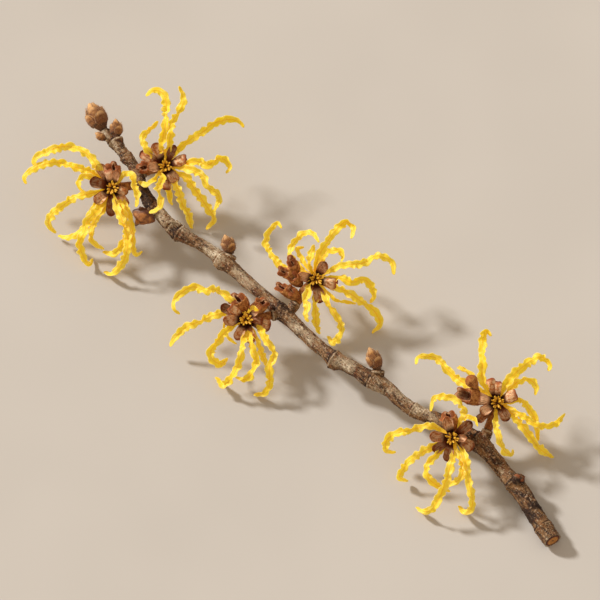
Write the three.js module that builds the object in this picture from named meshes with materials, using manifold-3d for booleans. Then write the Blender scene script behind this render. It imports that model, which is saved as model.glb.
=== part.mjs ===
// A witch hazel branch in flower, lying on a flat surface. Millimetres, +Z up.
// +X runs along the twig from its cut end to its growing tip, and the origin is the middle of the
// branch's box, at the height of the surface that it rests on.
import * as THREE from "three";
import Module from "manifold-3d";

const wasm = await Module();
wasm.setup();

// Driving dimensions
const petalThickness = 0.62;
const petalWave = 0.34; // how far a petal's edge is crimped out of its face
const petalStep = 2.25; // length of one crimp
const crimpTurn = 2.3; // how far the crimp's wave turns in one step
const tipTwist = 1.1; // how far a petal turns about its middle line at its tip
const seat = 0.3; // gap between two pieces that sit on each other
const calyxRadius = 2.5;
const cupDepth = 3;
const throatDepth = 1.5; // from the mouth of a flower head down to the floor of its throat
const lobeThickness = 1.05;
const stalkRadius = 1.1;
const spurRadius = 1.35;
const hubWidth = 3; // of the cushion that a head's petals grow from
const stamenLength = 2.3;
const stamenRadius = 0.34;
const barkRelief = 0.05; // share of the twig's radius
const scaleThickness = 0.9; // of a bud's scales
const goldenTurn = 2.4; // radians from one scale or stamen to the next
const boxMiddle = new THREE.Vector3(-11.14, 3.85, 0); // of the branch, before it is moved to the origin

// The branch is laid out as someone sees it who looks down on it from eyeElevation, with the twig
// running up to the left at branchBearing: to the right, up in the plane that faces the eye, and the
// height above the surface. The picture plane's zero is near the middle of the twig.
const eyeElevation = THREE.MathUtils.degToRad(60);
const branchBearing = THREE.MathUtils.degToRad(133.7);
const rightward = new THREE.Vector3(Math.cos(branchBearing), -Math.sin(branchBearing), 0);
const away = new THREE.Vector3(Math.sin(branchBearing), Math.cos(branchBearing), 0);
const upright = new THREE.Vector3(0, 0, 1);
const upward = new THREE.Vector3()
  .addScaledVector(away, Math.sin(eyeElevation))
  .addScaledVector(upright, Math.cos(eyeElevation));
const toEye = new THREE.Vector3()
  .addScaledVector(away, -Math.cos(eyeElevation))
  .addScaledVector(upright, Math.sin(eyeElevation));

function seen(right, up, height) {
  const far = (up - height * Math.cos(eyeElevation)) / Math.sin(eyeElevation);
  return new THREE.Vector3()
    .addScaledVector(rightward, right)
    .addScaledVector(away, far)
    .addScaledVector(upright, height)
    .sub(boxMiddle);
}

// A repeatable random number from 0 to 1
function randomFrom(seed) {
  let state = seed;
  return () => {
    state = (state + 0x6d2b79f5) | 0;
    let mixed = Math.imul(state ^ (state >>> 15), 1 | state);
    mixed = (mixed + Math.imul(mixed ^ (mixed >>> 7), 61 | mixed)) ^ mixed;
    return ((mixed ^ (mixed >>> 14)) >>> 0) / 4294967296;
  };
}

// Solids

function solidFrom(points, triangles) {
  const volume = triangles.reduce(
    (sum, [a, b, c]) => sum + points[a].dot(points[b].clone().cross(points[c])),
    0,
  );
  const outward = volume < 0 ? triangles.map(([a, b, c]) => [a, c, b]) : triangles;
  return new wasm.Manifold(
    new wasm.Mesh({
      numProp: 3,
      vertProperties: new Float32Array(points.flatMap((p) => p.toArray())),
      triVerts: new Uint32Array(outward.flat()),
    }),
  );
}

// A closed skin over rings of points, with a point at each end. The two halves of a ring are split
// along mirrored diagonals, so that both faces of a blade have the same triangles.
function loft(start, rings, end) {
  const sides = rings[0].length;
  const points = [start, ...rings.flat(), end];
  const last = points.length - 1;
  const triangles = [];
  for (let j = 0; j < sides; j++) {
    const next = (j + 1) % sides;
    triangles.push([0, 1 + next, 1 + j]);
    const final = 1 + (rings.length - 1) * sides;
    triangles.push([last, final + j, final + next]);
    for (let i = 0; i + 1 < rings.length; i++) {
      const a = 1 + i * sides + j;
      const b = 1 + i * sides + next;
      const c = b + sides;
      const d = a + sides;
      if (2 * j < sides) triangles.push([a, b, c], [a, c, d]);
      else triangles.push([a, b, d], [b, c, d]);
    }
  }
  return solidFrom(points, triangles);
}

function oval(middle, across, halfWidth, out, halfDepth, sides, firstCorner = 0.5) {
  return Array.from({ length: sides }, (_, k) => {
    const turn = (2 * Math.PI * (k + firstCorner)) / sides;
    return middle
      .clone()
      .addScaledVector(across, halfWidth * Math.cos(turn))
      .addScaledVector(out, halfDepth * Math.sin(turn));
  });
}

// A closed pod from one point to another, oval across. It swells as sin(pi s^skew)^blunt and its
// middle bows away from its face as sin(pi s).
function pod({ from, to, face, bow = 0, width, thickness, blunt = 0.6, skew = 1, sides = 8, rings = 4 }) {
  const along = to.clone().sub(from);
  const across = along.clone().cross(face).normalize();
  const out = across.clone().cross(along).normalize();
  const loops = [];
  for (let i = 1; i <= rings; i++) {
    const s = i / (rings + 1);
    const swell = Math.sin(Math.PI * s ** skew) ** blunt / 2;
    const middle = from.clone().addScaledVector(along, s).addScaledVector(out, -bow * Math.sin(Math.PI * s));
    loops.push(oval(middle, across, width * swell, out, thickness * swell, sides));
  }
  return loft(from, loops, to);
}

// A round stem through the given points, with one radius for each
function stem(places, radii, sides) {
  const loops = places.map((place, i) => {
    const before = places[Math.max(i - 1, 0)];
    const after = places[Math.min(i + 1, places.length - 1)];
    const along = after.clone().sub(before).normalize();
    const across = along.clone().cross(upright).normalize();
    return oval(place, across, radii[i], across.clone().cross(along), radii[i], sides);
  });
  return loft(places[0], loops, places.at(-1));
}

const joined = (solids) => wasm.Manifold.union(solids);

// The largest body of a solid: slivers that a cut leaves loose are dropped
function largest(solid) {
  return solid.decompose().sort((a, b) => b.volume() - a.volume())[0];
}

function meshOf(name, solid, material) {
  const mesh = solid.getMesh();
  const geometry = new THREE.BufferGeometry();
  geometry.setAttribute("position", new THREE.BufferAttribute(new Float32Array(mesh.vertProperties), 3));
  geometry.setIndex(new THREE.BufferAttribute(new Uint32Array(mesh.triVerts), 1));
  const result = new THREE.Mesh(geometry, material);
  result.name = name;
  return result;
}

// Finishes
const finish = (color, roughness) => new THREE.MeshStandardMaterial({ color, roughness, metalness: 0 });
const bark = finish(0x6f5746, 0.9);
const felt = finish(0x9a6a44, 0.85);
const mauve = finish(0x8c5238, 0.7);
const lemon = finish(0xf2c81e, 0.55);
const gold = finish(0xc8961a, 0.6);

// The twig: right, up, height and radius at each station, from the cut end to the growing tip. It
// swells at the nodes that carry flower heads and buds.
const twigStations = [
  [62.8, -59.8, 2.15, 2.33],
  [61.1, -57.3, 2.12, 2.3],
  [58.3, -53, 2.9, 2.15],
  [54.8, -47.5, 3.7, 2.25],
  [50.8, -42.8, 4.5, 2],
  [47.5, -38.6, 5.1, 2.05],
  [45, -36, 5.5, 2.3],
  [40, -32.5, 6.2, 2.1],
  [33.3, -29.5, 6.8, 1.8],
  [29.5, -28, 7.1, 1.75],
  [25.5, -25.5, 7.4, 1.75],
  [22.3, -22.5, 7.6, 1.8],
  [19.3, -20.6, 7.8, 2.2],
  [15, -18, 7.9, 1.85],
  [12.3, -16.5, 8, 1.8],
  [9.3, -15, 8.1, 2],
  [5.5, -12.3, 8.2, 1.7],
  [1, -8.3, 8.4, 1.7],
  [-1.8, -5.5, 8.5, 1.85],
  [-4.3, -3.3, 8.6, 2.05],
  [-8.5, 0.5, 8.7, 1.6],
  [-12.9, 4.3, 8.8, 1.6],
  [-16.3, 7.4, 8.9, 1.75],
  [-18.8, 9.4, 9, 2.05],
  [-21.8, 11.9, 9.1, 1.6],
  [-25.5, 14.2, 9.2, 1.55],
  [-29.3, 16.3, 9.3, 1.8],
  [-32.5, 18.8, 9.4, 1.75],
  [-35, 21.5, 9.5, 1.6],
  [-38.8, 26.5, 9.6, 1.6],
  [-40.8, 32, 9.7, 1.5],
  [-43, 35.3, 9.9, 1.4],
  [-45.5, 38.3, 10.1, 1.4],
  [-47.6, 40.3, 10.3, 1.2],
  [-49, 42.3, 10.5, 1.25],
];
const twigPlaces = twigStations.map(([right, up, height]) => seen(right, up, height));
const twigCurve = new THREE.CatmullRomCurve3(twigPlaces, false, "centripetal");

// Short spurs and bumps that grew with the twig: from, to, and the radius at each end
const spurs = [
  { from: [19.3, -20.2, 7.9], to: [19.5, -17.6, 9.4], radii: [1.8, 1.6] },
  { from: [-18.2, 9.1, 9], to: [-17.3, 11.2, 10], radii: [1.7, 1.5] },
  { from: [-45, 37.6, 10], to: [-45.8, 40.3, 10.5], radii: [1.3, 1.5] },
  { from: [54, -46.8, 3.9], to: [54.5, -44.5, 6.2], radii: [2, 1.6] },
];

function twig() {
  const random = randomFrom(7);
  const sides = 10;
  const spurSides = 6;
  const rings = 2 * (twigStations.length - 1);
  const cutRings = 3; // round, with a flat side down on the surface
  const loops = [];
  for (let i = 0; i <= rings; i++) {
    const at = (i / rings) * (twigStations.length - 1);
    const low = Math.min(Math.floor(at), twigStations.length - 2);
    const radius = THREE.MathUtils.lerp(twigStations[low][3], twigStations[low + 1][3], at - low);
    const middle = twigCurve.getPoint(i / rings);
    const along = twigCurve.getTangent(i / rings);
    const across = along.clone().cross(upright).normalize();
    const up = across.clone().cross(along);
    const loop = oval(middle, across, radius, up, radius, sides, 0);
    for (const place of loop) {
      if (i >= cutRings) place.lerp(middle, barkRelief * (2 * random() - 1));
      place.z = Math.max(place.z, 0);
    }
    loops.push(loop);
  }
  const shaft = loft(twigPlaces[0], loops, twigPlaces.at(-1));
  const grown = spurs.map(({ from, to, radii }) => stem([seen(...from), seen(...to)], radii, spurSides));
  const carrying = heads.map((head) => {
    const { axis, tip } = spurOf(head);
    return stem([axis, tip], [spurRadius, spurRadius], spurSides);
  });
  return joined([shaft, ...grown, ...carrying]);
}

// The spur that carries a flower head: where it leaves the twig's axis, and its tip. It points to the
// back of the head.
function spurOf(head) {
  const [right, up] = head.stalk;
  const steps = 400;
  let nearest = { distance: Infinity };
  for (let i = 0; i <= steps; i++) {
    const axis = twigCurve.getPoint(i / steps);
    const offset = axis.clone().sub(seen(right, up, 0));
    const distance = Math.hypot(offset.dot(rightward), offset.dot(upward));
    const station = Math.round((i / steps) * (twigStations.length - 1));
    if (distance < nearest.distance) nearest = { distance, axis, radius: twigStations[station][3] };
  }
  const inward = backOf(head).sub(nearest.axis).normalize();
  const tip = nearest.axis.clone().addScaledVector(inward, nearest.radius + head.spur);
  return { axis: nearest.axis, tip, inward };
}

// Buds: the base, the tip, the width, and how many scales overlap on it
const buds = [
  { name: "terminal_bud", base: [-49.5, 43.2, 10.9], tip: [-52.9, 49.2, 12.4], width: 5.6, scales: 4 },
  { name: "side_bud", base: [-45.9, 40.9, 10.9], tip: [-46.2, 45.4, 12], width: 3.4, scales: 3 },
  { name: "node_bud_1", base: [-17.2, 11.9, 10.4], tip: [-18.8, 16.3, 13.2], width: 3.7, scales: 3 },
  { name: "node_bud_2", base: [19.4, -17.1, 9.8], tip: [17.2, -11.8, 12.6], width: 4, scales: 3 },
];

// A bud: a pointed core with scales wrapped round it in a spiral
function bud({ base, tip, width, scales }) {
  const foot = seen(...base);
  const point = seen(...tip);
  const axis = point.clone().sub(foot);
  const core = pod({ from: foot, to: point, face: toEye, width, thickness: width, blunt: 0.62, rings: 4 });
  const wrapped = [];
  for (let k = 0; k < scales; k++) {
    const turned = toEye.clone().applyAxisAngle(axis.clone().normalize(), goldenTurn * k + 0.5);
    const side = turned.clone().cross(axis).cross(axis).negate().normalize();
    const start = 0.05 + (0.3 * k) / scales;
    const from = foot.clone().addScaledVector(axis, start).addScaledVector(side, width * 0.22);
    const to = foot.clone().addScaledVector(axis, start + 0.62).addScaledVector(side, width * 0.34);
    wrapped.push(
      pod({
        from,
        to,
        face: side.clone().negate(),
        bow: width * 0.13,
        width: width * 0.62,
        thickness: scaleThickness,
        sides: 6,
        rings: 3,
      }),
    );
  }
  return joined([core, ...wrapped]);
}

// The small bud beside the terminal bud and the old empty cup below the first flower head
function tinyBud() {
  const size = 2.1;
  return pod({
    from: seen(-48.9, 40.2, 11.9),
    to: seen(-51.3, 41.9, 12.6),
    face: toEye,
    width: size,
    thickness: size,
  });
}

function oldCup() {
  const foot = seen(-37.4, 20.3, 9.9);
  const mouth = seen(-41.6, 21.7, 9.2);
  const shell = pod({ from: foot, to: mouth, face: toEye, bow: 0.7, width: 4.6, thickness: 3.6, blunt: 0.5 });
  const flap = pod({
    from: seen(-37.8, 21.2, 10.2),
    to: seen(-41.6, 23.2, 10.4),
    face: toEye,
    bow: -0.3,
    width: 3,
    thickness: 1,
  });
  return joined([shell, flap]);
}

// Flower heads, from the growing tip to the cut end. Lengths inside a head are measured from the
// mouth of its throat: to the right, up, and towards the eye.
// A lobe is the tip of a calyx lobe: right, up, towards the eye and width.
// A knob is an unopened or spent calyx: from, to and width.
// A strap is a petal: the height of its tip above the surface, how far it arches above the straight
// line to that tip, its width, and the places that it passes, each to the right and up.
const strap = (tip, arch, width, ...route) => ({ tip, arch, width, route });

const heads = [
  {
    middle: [-47, 28.1],
    height: 12.5,
    stalk: [-40.3, 28.8],
    spur: 0.4,
    lobes: [
      [-5.2, 1.6, 0.3, 3],
      [-4, -3.6, 0.8, 2.8],
      [-0.3, -6.7, 0.6, 2.8],
      [3.6, -4.3, -0.8, 2.3],
      [3.7, -1.2, 0.5, 2.3],
      [-1, 4.2, 0.9, 2.2],
      [1.3, 4, 0.9, 2.2],
      [-3.4, 5.4, -1, 2.6],
    ],
    knobs: [
      { from: [0.6, 1.2, -3], to: [0.4, 6.4, -1.4], width: 3.6 },
      { from: [-0.8, 1.2, -3.2], to: [-3.2, 6, -2], width: 2.8 },
    ],
    straps: [
      strap(10.5, 3.6, 2.5, [-3.3, 4.6], [-6, 8.3], [-11.5, 10.4], [-16, 9.1], [-19.5, 7], [-18.8, 4.4]),
      strap(9, 2.2, 2.3, [-4, 3.3], [-9.5, 5.2], [-14, 6.3], [-18.3, 5.4], [-22, 2.6], [-21.5, 0.9]),
      strap(12.5, 1, 1.7, [-4.8, 2.6], [-7.4, 2.8], [-8.2, 0.4], [-6.6, -1.6]),
      strap(1.6, 3, 2.4, [-3.3, -1], [-9.5, -2.6], [-12.3, -4.4], [-14.8, -6.4], [-16, -9], [-14.2, -11.4]),
      strap(0.45, 3, 2.4,
        [-1.8, -3.6], [-4, -6], [-6.2, -8.5], [-6.8, -11],
        [-8.2, -14], [-6, -19], [-4.8, -18]),
      strap(3, 0.8, 2, [-3, -3.2], [-5.6, -6.6], [-6.6, -9.4], [-10.3, -12.4], [-13.5, -12]),
      strap(5, 0.4, 1.8, [-1.2, -4], [-3.8, -7.6], [-5.2, -11.5], [-4.8, -13.6], [-2, -15.4]),
      strap(4, 2, 2.3,
        [1.8, -3.4], [2.8, -6.4], [3.5, -9], [4, -11.6],
        [2, -15], [0.5, -16.5], [-2.3, -16]),
      strap(6.6, 0.4, 1.8, [2.6, -3], [4, -6.4], [5, -9.6], [5.3, -15], [6, -16.8], [7.6, -16]),
      strap(0.6, 3.6, 2.4, [0.8, -4], [2.6, -8.4], [4, -13.6], [2.8, -18.4], [0, -21.6], [-2, -21]),
      strap(12.6, 2, 2.1, [1.6, 1.6], [3.4, 3.6], [4.9, 3], [5.6, 0.4], [6.5, -2.2], [6, -4.9]),
    ],
  },
  {
    middle: [-33.6, 33.5],
    height: 13.5,
    stalk: [-40.8, 31.5],
    spur: 0.4,
    lobes: [
      [4.8, 2, 0.3, 3],
      [2.2, 4.9, 0, 2.2],
      [-2.9, 5.3, -0.8, 2.8],
      [-6, 3.3, -0.8, 2.8],
      [-4.2, -0.4, 0.9, 2.8],
      [2.6, -3.8, 0.4, 2.9],
      [0.3, -5.6, 0.2, 2.6],
    ],
    knobs: [{ from: [-1.4, -0.4, -3], to: [-7, -0.5, 0.2], width: 3.1 }],
    straps: [
      strap(13.2, 2.5, 2.2,
        [-1.5, -1.6], [-0.6, -3], [-1.9, -5.6],
        [-1.1, -9], [-2.1, -10.8], [-4.1, -11.6]),
      strap(16, 1.5, 2, [-3, 2.2], [-4.6, 4], [-5.9, 7], [-4.6, 8.8], [-3.1, 10], [-1.9, 11.2]),
      strap(21.5, 2.5, 2.4,
        [-1.1, 4.5], [-0.6, 7.5], [0, 10.5], [0, 16.5],
        [-1.1, 18.5], [-3.1, 19], [-4.9, 17.5]),
      strap(22.5, 2, 2.2, [0.8, 4.5], [1.2, 7.5], [1.8, 11.2], [4.1, 15], [4.4, 17.2], [3.4, 20]),
      strap(15, 2.5, 2.4,
        [2.4, 3.2], [4.6, 5.5], [9.9, 9], [12.1, 10.7],
        [16.9, 11.7], [18.6, 11], [19.6, 9.7]),
      strap(12.5, 2, 2.3, [4.1, 0.5], [8.6, 1], [10.4, 0.2], [13.9, 2], [16.1, -0.3], [15.1, -1.8]),
      strap(8, 3.2, 2.2, [2.9, -0.3], [5.4, -0.6], [9.4, -2.6], [10.4, -4.8], [13.4, -7.8], [12.1, -11.3]),
      strap(1.2, 1.4, 2.4,
        [2.9, -1.8], [5.1, -2.8], [6.6, -4.8],
        [9.9, -9.6], [12.1, -13.1], [10.1, -15.8]),
      strap(0.25, 2.5, 2.4, [2.4, -4.3], [3.4, -6.6], [4.1, -9.3], [5.6, -11.8], [6.4, -15.6]),
      strap(5.5, 0.3, 1.8, [0.6, -4], [0.9, -7.8], [1.6, -9.8]),
      strap(15, 1, 1.5, [-0.2, 2.4], [0, 3.8], [-1.6, 3.2]),
      strap(12.6, 2, 1.8, [-1.4, -1.2], [-3.3, -3.8], [-5, -4.5], [-6.8, -3.8]),
    ],
  },
  {
    middle: [-13.5, -4.75],
    height: 11.5,
    stalk: [-4.6, -3.8],
    spur: 0.8,
    lobes: [
      [-5.3, -0.2, 0.5, 2.9],
      [-5.8, 3.2, -0.6, 2.7],
      [-3.9, 2.7, 0.7, 2.5],
      [3.5, 3.4, 0.9, 3.1],
      [3.9, -0.6, 0.6, 2.2],
      [-2.2, -4.9, 0.6, 2.6],
      [1.6, -5.6, 0.5, 3],
      [5.7, -2, -1.6, 3.6],
    ],
    knobs: [
      { from: [0.4, 1.6, -3], to: [-2.8, 6.2, -1.6], width: 4.2 },
      { from: [2, 1.4, -3], to: [5, 5, -1.4], width: 3.6 },
    ],
    straps: [
      strap(8.5, 2.5, 2.3,
        [-3.3, 4.5], [-8, 7.5], [-10, 7], [-13.25, 8],
        [-17.3, 5.3], [-18, 2.6], [-16.5, 1.2]),
      strap(3.5, 2.5, 2.4,
        [-3.4, 1.6], [-7.8, 1], [-11.3, -0.5],
        [-14.5, -1.8], [-17.5, -4.5], [-19, -6.8]),
      strap(4, 2.5, 2.4,
        [-2, -0.8], [-5.3, -3.5], [-8, -6.8], [-8.8, -8.3],
        [-8.3, -10], [-6.5, -11.2], [-4.5, -10]),
      strap(5, 1.5, 1.3, [-5, -0.6], [-5.5, -2.8], [-4.2, -4.8], [-2.3, -6.3]),
      strap(0.5, 3, 2.3, [0.2, -3], [-0.5, -5.3], [-1.5, -10], [-3, -13.8], [-5.3, -16.3], [-7.5, -14.5]),
      strap(3, 2.5, 2.2, [0.8, -3], [1.8, -7.8], [2.6, -10.5], [1.5, -13.5], [0, -15], [-2.5, -14.5]),
      strap(3, 2, 2, [1.8, -3], [3.3, -6.8], [4.5, -10], [5.2, -12]),
      strap(0.7, 3, 2.4,
        [2.5, -1], [4.8, -4.8], [7, -9], [5.9, -12],
        [5.8, -16.5], [4.5, -18.5], [2, -18.8]),
      strap(14.6, 1, 1.8, [0.5, 1.4], [1.5, 2.8], [3.2, 2.2]),
    ],
  },
  {
    middle: [3.9, 5.3],
    height: 13.5,
    stalk: [-3.6, -4],
    spur: 2,
    lobes: [
      [2.3, 3.9, 0.2, 2.8],
      [4.9, -1.6, 0.3, 3.2],
      [1, -5.7, 0.2, 3],
      [-4.1, 1, 1, 2.6],
      [-3.6, -3.7, 0.4, 2.6],
    ],
    knobs: [
      { from: [-3.4, -1.9, -1.6], to: [-6.8, 1.5, 2.1], width: 3.2 },
      { from: [-4.3, 0.3, -1.2], to: [-9.1, 2.1, 1.6], width: 3 },
      { from: [-4.4, 1.3, -1], to: [-6.4, 5, 1.6], width: 2.9 },
      { from: [-4.6, -5.4, -0.6], to: [-9.7, -1, -0.4], width: 2.8 },
      { from: [-4.2, -4.9, -0.8], to: [-6.9, -2.1, 1.6], width: 2.7 },
    ],
    straps: [
      strap(16, -2, 2,
        [-3.6, 1.2], [-8.4, 3], [-11.4, 6.7], [-12.4, 8.5],
        [-12.1, 10.7], [-9.6, 14], [-8.4, 12.7]),
      strap(16, -2, 2.1,
        [-3, 2], [-6.1, 5], [-6.2, 7.4], [-4.1, 10.5],
        [-2.6, 11.5], [-0.6, 11.2], [0.9, 9.2]),
      strap(13, -1.5, 1.6, [-1.6, 2.2], [-3.4, 5], [-4.6, 7.4], [-2.9, 8]),
      strap(18, 1.5, 2.2, [-1.2, 2.2], [-1.4, 4.5], [-0.9, 6.7], [-0.4, 8.5]),
      strap(18, 2.5, 2.4, [0, 3], [1.1, 6.2], [3.4, 10], [6.1, 13.2], [7.6, 14.2], [9.4, 12.6], [8.9, 10]),
      strap(13.5, 1, 2, [0.6, 2.6], [2.9, 6.7], [6.1, 6.9], [6.9, 5.7], [6.4, 4.2]),
      strap(12.5, 2.5, 2.4,
        [2.4, 1.5], [6.9, 3.2], [9.1, 3.5], [12.1, 4],
        [15.4, 5.7], [18.9, 4.2], [19.6, 1]),
      strap(8.5, 2.5, 2.3,
        [3, 0.2], [6.9, 0], [9.1, -1], [11.4, -0.2],
        [13.1, -1], [14.6, -4.3], [13.6, -6]),
      strap(0.35, 3.5, 2.5,
        [2.2, -1.4], [6.9, -2.8], [11.1, -5.5],
        [14.4, -7.8], [16.1, -11.3], [14.1, -13.5]),
      strap(7, 1.5, 1.2, [2, -2.4], [5.1, -5.3], [6.9, -5.6], [10.1, -6.3]),
      strap(2, 3, 2.3,
        [1.4, -2.4], [3.1, -5.8], [5.4, -10], [6.4, -12.3],
        [5.9, -14.5], [4.4, -15.8], [3.1, -14.3]),
      strap(12.8, 2, 2.4, [-1.6, -1], [-2.1, -3.8], [-2.6, -5.3], [-2.1, -7], [-2.4, -9.5], [-1.9, -10.8]),
      strap(1, 2, 2.3, [0, -3.6], [0, -6.8], [0.1, -11.3], [0.9, -13.8]),
    ],
  },
  {
    middle: [37.9, -34.3],
    height: 12,
    stalk: [38.6, -32],
    spur: 0.4,
    lobes: [
      [-1.6, 4.9, 0.8, 2.8],
      [-5.3, 0.4, 0.5, 2.9],
      [4.5, 3.7, 0.4, 2.8],
      [3.3, -0.2, 0.9, 2.1],
      [5, -2.2, -0.8, 3.2],
      [-1.5, -5.4, 0.5, 2.7],
      [-4.6, -3, -0.2, 2.5],
    ],
    knobs: [{ from: [0.8, 2, -2.8], to: [-1.6, 6.6, -1.6], width: 4 }],
    straps: [
      strap(4.5, 2.5, 2.4,
        [-2.9, 2], [-5.4, 3], [-11.1, 1.8], [-14.1, 1],
        [-16.4, -0.7], [-16.4, -3.2], [-14.1, -3.7]),
      strap(1, 2.5, 2.3,
        [-2.1, -1.2], [-5.1, -2.2], [-10.1, -5.4],
        [-12.1, -7.7], [-13.1, -9.7], [-11.1, -10.9]),
      strap(3.5, 1.5, 2.1,
        [-1.9, -2.4], [-5.1, -5.2], [-6.4, -7.4],
        [-6.1, -9.7], [-4.4, -11.4], [-0.6, -13.4]),
      strap(0.5, 3, 2.4,
        [0.3, -3], [-0.9, -8.2], [-2.6, -13.4],
        [-5.4, -17.9], [-7.4, -18.2], [-8.9, -17.2]),
      strap(6, 1.5, 1.9, [1.2, -3.4], [2.6, -8.2], [1.6, -10.4], [-1.9, -12.2]),
      strap(0.8, 3, 2.4,
        [1.9, -1.9], [3.1, -5.2], [4.1, -10.9], [4.9, -15.9],
        [4.4, -17.9], [2.9, -18.4], [1.7, -16.9]),
      strap(11, 3, 2.1,
        [1.4, 1.6], [1.9, 4.1], [2.9, 6.8], [0.6, 9.6],
        [-1.9, 10.3], [-4.4, 9.8], [-5.4, 6.6]),
      strap(14.6, 1, 1.5, [2.2, 2.2], [3.8, 5.2], [5.6, 4.6], [6.3, 2.9]),
    ],
  },
  {
    middle: [49.1, -25.5],
    height: 13,
    stalk: [45.4, -36.2],
    spur: 1.8,
    lobes: [
      [4.4, 2.2, 0.4, 3.3],
      [2.4, -4.3, 0.2, 2.9],
      [-3.9, -2.6, 1, 2.7],
      [-4.6, 1.2, 1, 3.2],
      [0.2, 4.9, 0.5, 2],
      [-1.8, 5.6, -0.8, 2.6],
      [-4.8, -4.4, -1, 2.4],
    ],
    knobs: [
      { from: [-3.6, 1.6, -1], to: [-7.4, 6.6, 1.9], width: 3.2 },
      { from: [-2.6, 0.4, -1.8], to: [-9.9, 2.3, 1.6], width: 4.3 },
    ],
    straps: [
      strap(13, -2, 2.4,
        [-2.6, 2.2], [-7.3, 4.2], [-12.1, 7.8], [-15.1, 11],
        [-17.6, 11.5], [-19.8, 11], [-20.1, 9.5]),
      strap(12, -1.5, 1.3, [-2, 2.8], [-6, 6.8], [-9.6, 8.8], [-7.6, 7.6]),
      strap(19, 2, 2.5, [-2, 2.6], [-3.8, 6], [-3.6, 10.5], [-3.6, 15.6], [-2.8, 17.8], [-1.4, 16.6]),
      strap(15, 2.5, 2.6, [1.2, 2.8], [4.2, 7], [8.7, 10.5], [10.9, 11.3], [13.2, 9.3], [12.7, 7.8]),
      strap(12.5, 2, 2.2, [2.2, 2], [4.9, 5], [7.2, 5.8], [8.7, 5.3], [9.7, 3.8], [9.4, 1.8]),
      strap(6, 2, 2.1, [3, 0], [5.7, 0.5], [7.2, -0.8], [9.4, -4.3], [10.2, -9.5]),
      strap(8, 1.5, 1.9, [2.8, -1.2], [5.7, -3], [9.7, -5.5], [12.2, -5.8], [14.4, -5.3], [16.9, -2.8]),
      strap(0.4, 3, 2.6, [1.9, -1.5], [4.2, -3.3], [7.4, -7.5], [10.4, -11.3], [13.9, -13.8]),
      strap(6.5, 1.5, 2.2,
        [-0.4, -2.8], [-0.3, -5.8], [0.9, -10.3],
        [1.9, -12.3], [3.4, -12.8], [4, -11.8]),
    ],
  },
];

// A place inside a head
function within(head, right, up, near) {
  return seen(...head.middle, head.height)
    .addScaledVector(rightward, right)
    .addScaledVector(upward, up)
    .addScaledVector(toEye, near);
}

// Where a head's stalk meets the back of its cup
const backOf = (head) => within(head, 0, 0, -throatDepth - cupDepth / 2);

// A petal's middle line. Between its root and its tip the height runs straight, plus the arch's
// parabola over the share of the route that it has covered.
function petalCurve(head, { tip, arch, route }) {
  const rootSpread = 1.1;
  const rootNear = -0.35;
  const [firstRight, firstUp] = route[0];
  const scale = rootSpread / Math.hypot(firstRight, firstUp);
  const flat = [[firstRight * scale, firstUp * scale], ...route];
  const covered = [0];
  for (let i = 1; i < flat.length; i++)
    covered.push(covered[i - 1] + Math.hypot(flat[i][0] - flat[i - 1][0], flat[i][1] - flat[i - 1][1]));
  const root = within(head, ...flat[0], rootNear);
  const places = flat.map(([right, up], i) => {
    if (i === 0) return root;
    const share = covered[i] / covered.at(-1);
    const height = THREE.MathUtils.lerp(root.z, tip, share) + 4 * arch * share * (1 - share);
    return seen(head.middle[0] + right, head.middle[1] + up, height);
  });
  return new THREE.CatmullRomCurve3(places, false, "centripetal");
}

// The strap that a petal is swept from: the middle, width direction and face direction of each step,
// and half its width there. It narrows at the root and the tip, and where it turns tightly in its own
// plane, and it twists towards its tip.
function petalFrames(curve, width, lean, steps) {
  const length = curve.getLength();
  return Array.from({ length: steps + 1 }, (_, i) => {
    const s = i / steps;
    const along = curve.getTangentAt(s);
    const twist = lean * Math.sin(Math.PI * s) + tipTwist * THREE.MathUtils.smoothstep(s, 0.7, 1);
    const across = along.clone().cross(toEye).normalize().applyAxisAngle(along, twist);
    const face = across.clone().cross(along).normalize();
    const before = curve.getTangentAt(Math.max(s - 0.5 / steps, 0));
    const after = curve.getTangentAt(Math.min(s + 0.5 / steps, 1));
    const turning = Math.abs(after.sub(before).dot(across)) / (length / steps);
    const room = 0.62 / Math.max(turning, 0.01); // less than the radius of the turn
    const taper = Math.min(1, 0.34 + 3 * s, 0.42 + 2.4 * (1 - s));
    return { s, middle: curve.getPointAt(s), along, across, face, half: Math.min((width / 2) * taper, room) };
  });
}

// One section of a strap, whose left and right edges are lifted out of its face
function strapSection({ middle, across, face }, half, deep, leftLift, rightLift) {
  const corner = (hand, lift, level) =>
    middle.clone().addScaledVector(across, hand * half).addScaledVector(face, lift + level * deep);
  return [
    corner(-1, leftLift, 1),
    corner(1, rightLift, 1),
    corner(1, rightLift, -1),
    corner(-1, leftLift, -1),
  ];
}

function strapSolid(frames, sections, overhang) {
  const first = frames[0];
  const last = frames.at(-1);
  const start = first.middle.clone().addScaledVector(first.along, -overhang);
  const end = last.middle.clone().addScaledVector(last.along, overhang);
  return loft(start, sections, end);
}

// A crimped petal: its edges swing out of its face, one after the other
function petal(head, shape, random) {
  const curve = petalCurve(head, shape);
  const steps = Math.max(4, Math.round(curve.getLength() / petalStep));
  const phase = random() * Math.PI;
  const lean = (random() - 0.5) * 0.7;
  const frames = petalFrames(curve, shape.width, lean, steps);
  const sections = frames.map((frame, i) => {
    const crimp = petalWave * Math.min(1, 4 * frame.s, 3 * (1 - frame.s));
    const left = crimp * Math.sin(i * crimpTurn + phase);
    const right = crimp * Math.sin((i + 1) * crimpTurn + phase);
    return strapSection(frame, frame.half, petalThickness / 2, left, right);
  });
  return strapSolid(frames, sections, petalThickness / 4);
}

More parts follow.
